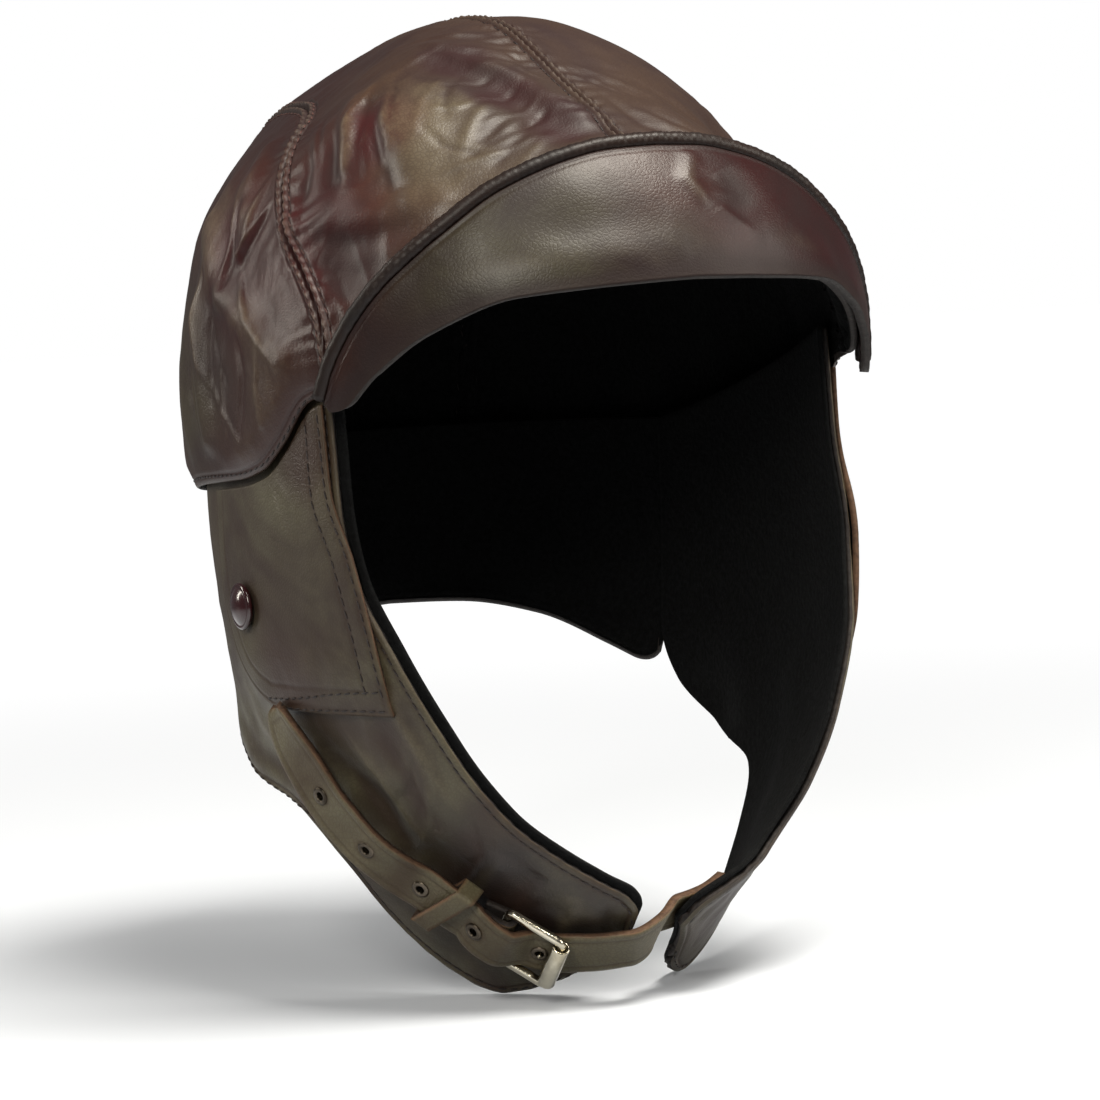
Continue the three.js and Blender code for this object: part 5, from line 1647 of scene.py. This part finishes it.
def leather(name, base, deep, light, edge, gloss, tints=(), bump=0.35, cells=900.0, **finish):
    made, tree, shader, place = material(name, **finish)
    grained = placed(tree, grain, Vector=place, Cells=cells)
    color = tinted(tree, place, shade(*base), tints)
    toned = placed(tree, tone, Vector=place, Fold=mask(tree, "fold"), Seam=mask(tree, "seam"),
                   Worn=mask(tree, "worn"), Pores=grained["Pores"], Base=color, Deep=shade(*deep),
                   Light=shade(*light), Edge=shade(*edge), Gloss=gloss)
    tree.links.new(toned["Color"], shader.inputs["Base Color"])
    tree.links.new(toned["Roughness"], shader.inputs["Roughness"])
    relieved(tree, shader, grained["Height"], bump, GRAIN_DEPTH)
    return made


# %% Leather finishes: base, deep (also painted shade), light (painted sheen) and edge colours, gloss, then tints and sheen
OXBLOOD_SHADE, TAUPE_SHEEN, OLIVE_SHEEN, BROWN = (62, 15, 15), (94, 84, 68), (70, 62, 46), (100, 80, 58)


def on_crown(azimuth, elevation):
    return crown_at([azimuth], [elevation])[0]


# The crown's tints: the taupe one is a painted sheen on the lit front, the olive one a painted sheen low on
# the right side, and the oxblood ones are painted shade in the fold valleys and under the ledge on the right
# front. The large brown one lightens the left panel as a painted sheen, and a small brown one lies near the
# top on the right
crown_finish = leather(
    "oxblood_crown_leather", (56, 29, 22), (34, 9, 9), (104, 88, 70), (104, 92, 80), 0.43,
    tints=((on_crown(30, 50), 36, 80, BROWN), (on_crown(-60, 75), 14, 50, BROWN),
            (on_crown(-28, 43), 8, 48, TAUPE_SHEEN), (on_crown(-112, 2), 10, 42, OLIVE_SHEEN),
            (on_crown(-66, 26), 8, 34, OXBLOOD_SHADE), (on_crown(-38, 63), 3, 14, OXBLOOD_SHADE),
            (on_crown(-24, 53), 3, 13, OXBLOOD_SHADE), (on_crown(-12, 43), 3, 13, OXBLOOD_SHADE),
            (on_crown(-55, 44), 4, 16, OXBLOOD_SHADE), (on_crown(-90, 24), 8, 30, OXBLOOD_SHADE)),
    specular=0.38, coat=0.12, coat_roughness=0.34, bump=0.14)
# On the flaps, the darkest tints, at the two lower tips, are painted shade where the lobes turn away from
# the lamps; the others lay darker browns along the front of the right flap and at the back of both
flap_finish = leather(
    "olive_flap_leather", (98, 93, 73), (50, 34, 27), (116, 108, 87), (84, 68, 50), 0.46,
    tints=(((-45, -62, -240), 20, 44, (27, 19, 15)), ((45, -62, -240), 20, 44, (27, 19, 15)),
            ((-84, -20, -170), 3, 24, (62, 42, 32)), ((-70, -50, -190), 3, 20, (60, 44, 33)),
            ((-80, -35, -115), 3, 22, (58, 40, 31)), ((-52, -66, -212), 3, 16, (60, 46, 34)),
            ((-60, 60, -176), 10, 40, (50, 43, 34)), ((60, 60, -176), 10, 40, (50, 43, 34))),
    specular=0.4, coat=0.08, coat_roughness=0.35, bump=0.18)
# The peak's tints are painted light: the olive and taupe ones are a painted sheen over its right half and
# middle, and the deep oxblood one is painted shade over its left end
peak_finish = leather(
    "peak_leather_with_painted_light", (54, 30, 24), (28, 11, 10), (92, 84, 68), (40, 28, 22), 0.4,
    tints=(((-42, -86, -72), 20, 46, (60, 55, 42)), ((-2, -100, -72), 6, 24, (62, 54, 43)),
            ((44, -90, -56), 30, 52, (44, 9, 9))),
    specular=0.3, coat=0.1, coat_roughness=0.32, bump=0.12)
binding_finish = leather("dark_binding_leather", (34, 20, 15), (15, 8, 7), (58, 46, 36), (52, 40, 32),
                         0.46, specular=0.3, coat=0.05, coat_roughness=0.4, bump=0.08)
strap_finish = leather("worn_strap_leather", (114, 107, 82), (64, 48, 34), (126, 116, 90), (116, 84, 58),
                       0.48, specular=0.4, coat=0.05, coat_roughness=0.35, bump=0.26, cells=760.0)
print(len(bpy.data.materials), "leathers made")


# %% Raw edges, lining, thread
def plain(name, base, deep, gloss, scale, bump, distance, **finish):
    made, tree, shader, place = material(name, **finish)
    spots = rough_noise(tree, place, scale, 5.0, 0.65)
    color = blend(tree, spread(tree, spots, 0.3, 0.7), shade(*base), shade(*deep))
    tree.links.new(color, shader.inputs["Base Color"])
    tree.links.new(spread(tree, spots, 0.25, 0.75, gloss - 0.06, gloss + 0.08), shader.inputs["Roughness"])
    relieved(tree, shader, spots, bump, distance)
    return made


raw_edge = plain("raw_tan_edge", (106, 77, 55), (72, 50, 35), 0.75, 700.0, 0.6, 0.0005)
dark_edge = plain("dark_cut_edge", (40, 31, 26), (22, 16, 14), 0.7, 700.0, 0.6, 0.0005)
strap_back = plain("strap_flesh_side", (74, 56, 42), (50, 37, 28), 0.8, 520.0, 0.7, 0.0006)
lining = plain("black_fleece_lining", (12, 13, 14), (5, 5, 6), 0.9, 700.0, 0.7, 0.001, specular=0.2)
oxblood_thread = plain("oxblood_thread", (96, 60, 54), (60, 34, 31), 0.5, 1500.0, 0.5, 0.0003)
dark_thread = plain("dark_thread", (34, 20, 18), (18, 10, 10), 0.5, 1500.0, 0.5, 0.0003)
snap_finish = plain("oxblood_snap_paint", (58, 14, 20), (40, 9, 14), 0.22, 90.0, 0.1, 0.0004,
                    coat=0.6, coat_roughness=0.08)


# %% Nickel and gunmetal
def metal(name, base, deep, gloss):
    made, tree, shader, place = material(name, metallic=1.0)
    scratched = add(tree, "Mapping", None, Vector=place, Scale=(1.0, 1.0, 0.12)).outputs[0]
    scratches = rough_noise(tree, scratched, 1800.0, 4.0, 0.6)
    smears = rough_noise(tree, place, 120.0, 3.0)
    color = blend(tree, spread(tree, smears, 0.4, 0.75), shade(*base), shade(*deep))
    tree.links.new(color, shader.inputs["Base Color"])
    wear = maths(tree, "ADD", maths(tree, "MULTIPLY", scratches, 0.14), maths(tree, "MULTIPLY", smears, 0.1))
    tree.links.new(maths(tree, "ADD", wear, gloss - 0.12), shader.inputs["Roughness"])
    relieved(tree, shader, scratches, 0.12, 0.0002)
    return made


nickel = metal("brushed_nickel", (206, 200, 182), (158, 150, 130), 0.2)
gunmetal = metal("dark_eyelet_metal", (92, 84, 74), (48, 42, 36), 0.34)
print(len(bpy.data.materials), "finishes in all")

# %% Which piece wears which finish
FINISHES = {
    "crown_leather": (crown_finish, lining, dark_edge), "flap_leather": (flap_finish, lining, dark_edge),
    "peak_leather": (peak_finish, peak_finish, dark_edge), "binding_leather": (binding_finish,),
    "lining_cloth": (lining, lining, lining), "snap_paint": (snap_finish,),
    "strap_leather": (strap_finish, strap_back, raw_edge), "buckle_metal": (nickel,),
    "eyelet_metal": (gunmetal,),
}
for piece, slot in dressed:
    if "stitches" in piece.name:
        finishes = (oxblood_thread if "side_seam" in piece.name else dark_thread,)
    else:
        finishes = FINISHES[slot]
        if "patch" in piece.name:
            finishes = (flap_finish, lining, raw_edge)
        if "chape" in piece.name:
            finishes = (strap_finish, dark_edge, dark_edge)
    for finish in finishes:
        piece.data.materials.append(finish)
print(len(dressed), "pieces are finished")

# %% [markdown]
# ## Floor and light
# The reference is a studio picture on white. A pale floor and a pale world give the same clean
# ground. Glossy leather shows the lights themselves, so they are large soft panels: the key high
# on the left, a broad one overhead for the bloom on the crown, and weak ones on the right and from
# behind. They are slightly warm, which keeps red leather brown, and a bluish floor makes up for it.

# %% Floor
# It glows white from a little way off, like the sweep of a light table, so no horizon shows. The
# lens sees the glow in full, and the leather a tenth of it. Diffuse rays pass through the floor, so
# it throws no light up under the helmet.
FLOOR_RADIUS = 6
FLOOR_COLOUR = (226, 231, 240)
GLOW_FROM = 0.2
GLOW_FULL = 0.95
GLOW_ON_LEATHER = 0.1


def for_camera(tree, otherwise):
    seen = tree.nodes.new("ShaderNodeLightPath").outputs["Is Camera Ray"]
    return add(tree, "MapRange", None, i0=seen, i3=otherwise, i4=1.0).outputs[0]


ground = bmesh.new()
bmesh.ops.create_circle(ground, cap_ends=True, radius=FLOOR_RADIUS, segments=96)
bmesh.ops.translate(ground, vec=(0, 0, float(cad_box[0][2]) - MM), verts=ground.verts)
floor = linked("floor", mesh_of(ground, "floor"))
pale, tree, shader, place = material("pale_floor", specular=0.1)
away = add(tree, "VectorMath", {"operation": "LENGTH"}, i0=place).outputs["Value"]
glow = spread(tree, away, GLOW_FROM, GLOW_FULL)
tree.links.new(blend(tree, glow, shade(*FLOOR_COLOUR), (0, 0, 0, 1)), shader.inputs["Base Color"])
shader.inputs["Emission Color"].default_value = (1, 1, 1, 1)
tree.links.new(maths(tree, "MULTIPLY", glow, for_camera(tree, GLOW_ON_LEATHER)),
               shader.inputs["Emission Strength"])
floor.data.materials.append(pale)
floor.visible_diffuse = False

# %% Lights
WARM = (1.0, 0.95, 0.85)
LIGHT_AIM = Vector((0, 0, -0.1))


def panel(name, place, width, height, power):
    light = bpy.data.lights.new(name, "AREA")
    light.shape = "RECTANGLE"
    light.size, light.size_y, light.energy = width, height, power
    light.color = WARM
    lamp = bpy.data.objects.new(name, light)
    away = Vector(place) - LIGHT_AIM
    lamp.matrix_world = Matrix.Translation(place) @ away.to_track_quat("Z", "Y").to_matrix().to_4x4()
    bpy.context.scene.collection.objects.link(lamp)


# Place in metres, then width, height and watts
panel("key", (-1.1, -1.2, 0.75), 0.35, 0.7, 16)
panel("top", (0.25, -0.5, 1.2), 0.8, 0.5, 32)
panel("fill", (1.3, -0.9, 0.5), 0.6, 0.9, 11)
panel("rim", (-1.1, 0.9, 0.5), 0.2, 0.9, 8)

# %% World: white to the eye, dimmer as a light
SKY_ON_LEATHER = 0.12
world = bpy.data.worlds.new("studio")
bpy.context.scene.world = world
world.use_nodes = True
sky = world.node_tree
background = sky.nodes["Background"]
background.inputs["Color"].default_value = (1, 1, 1, 1)
sky.links.new(for_camera(sky, SKY_ON_LEATHER), background.inputs["Strength"])
bpy.context.scene.view_settings.view_transform = "Standard"
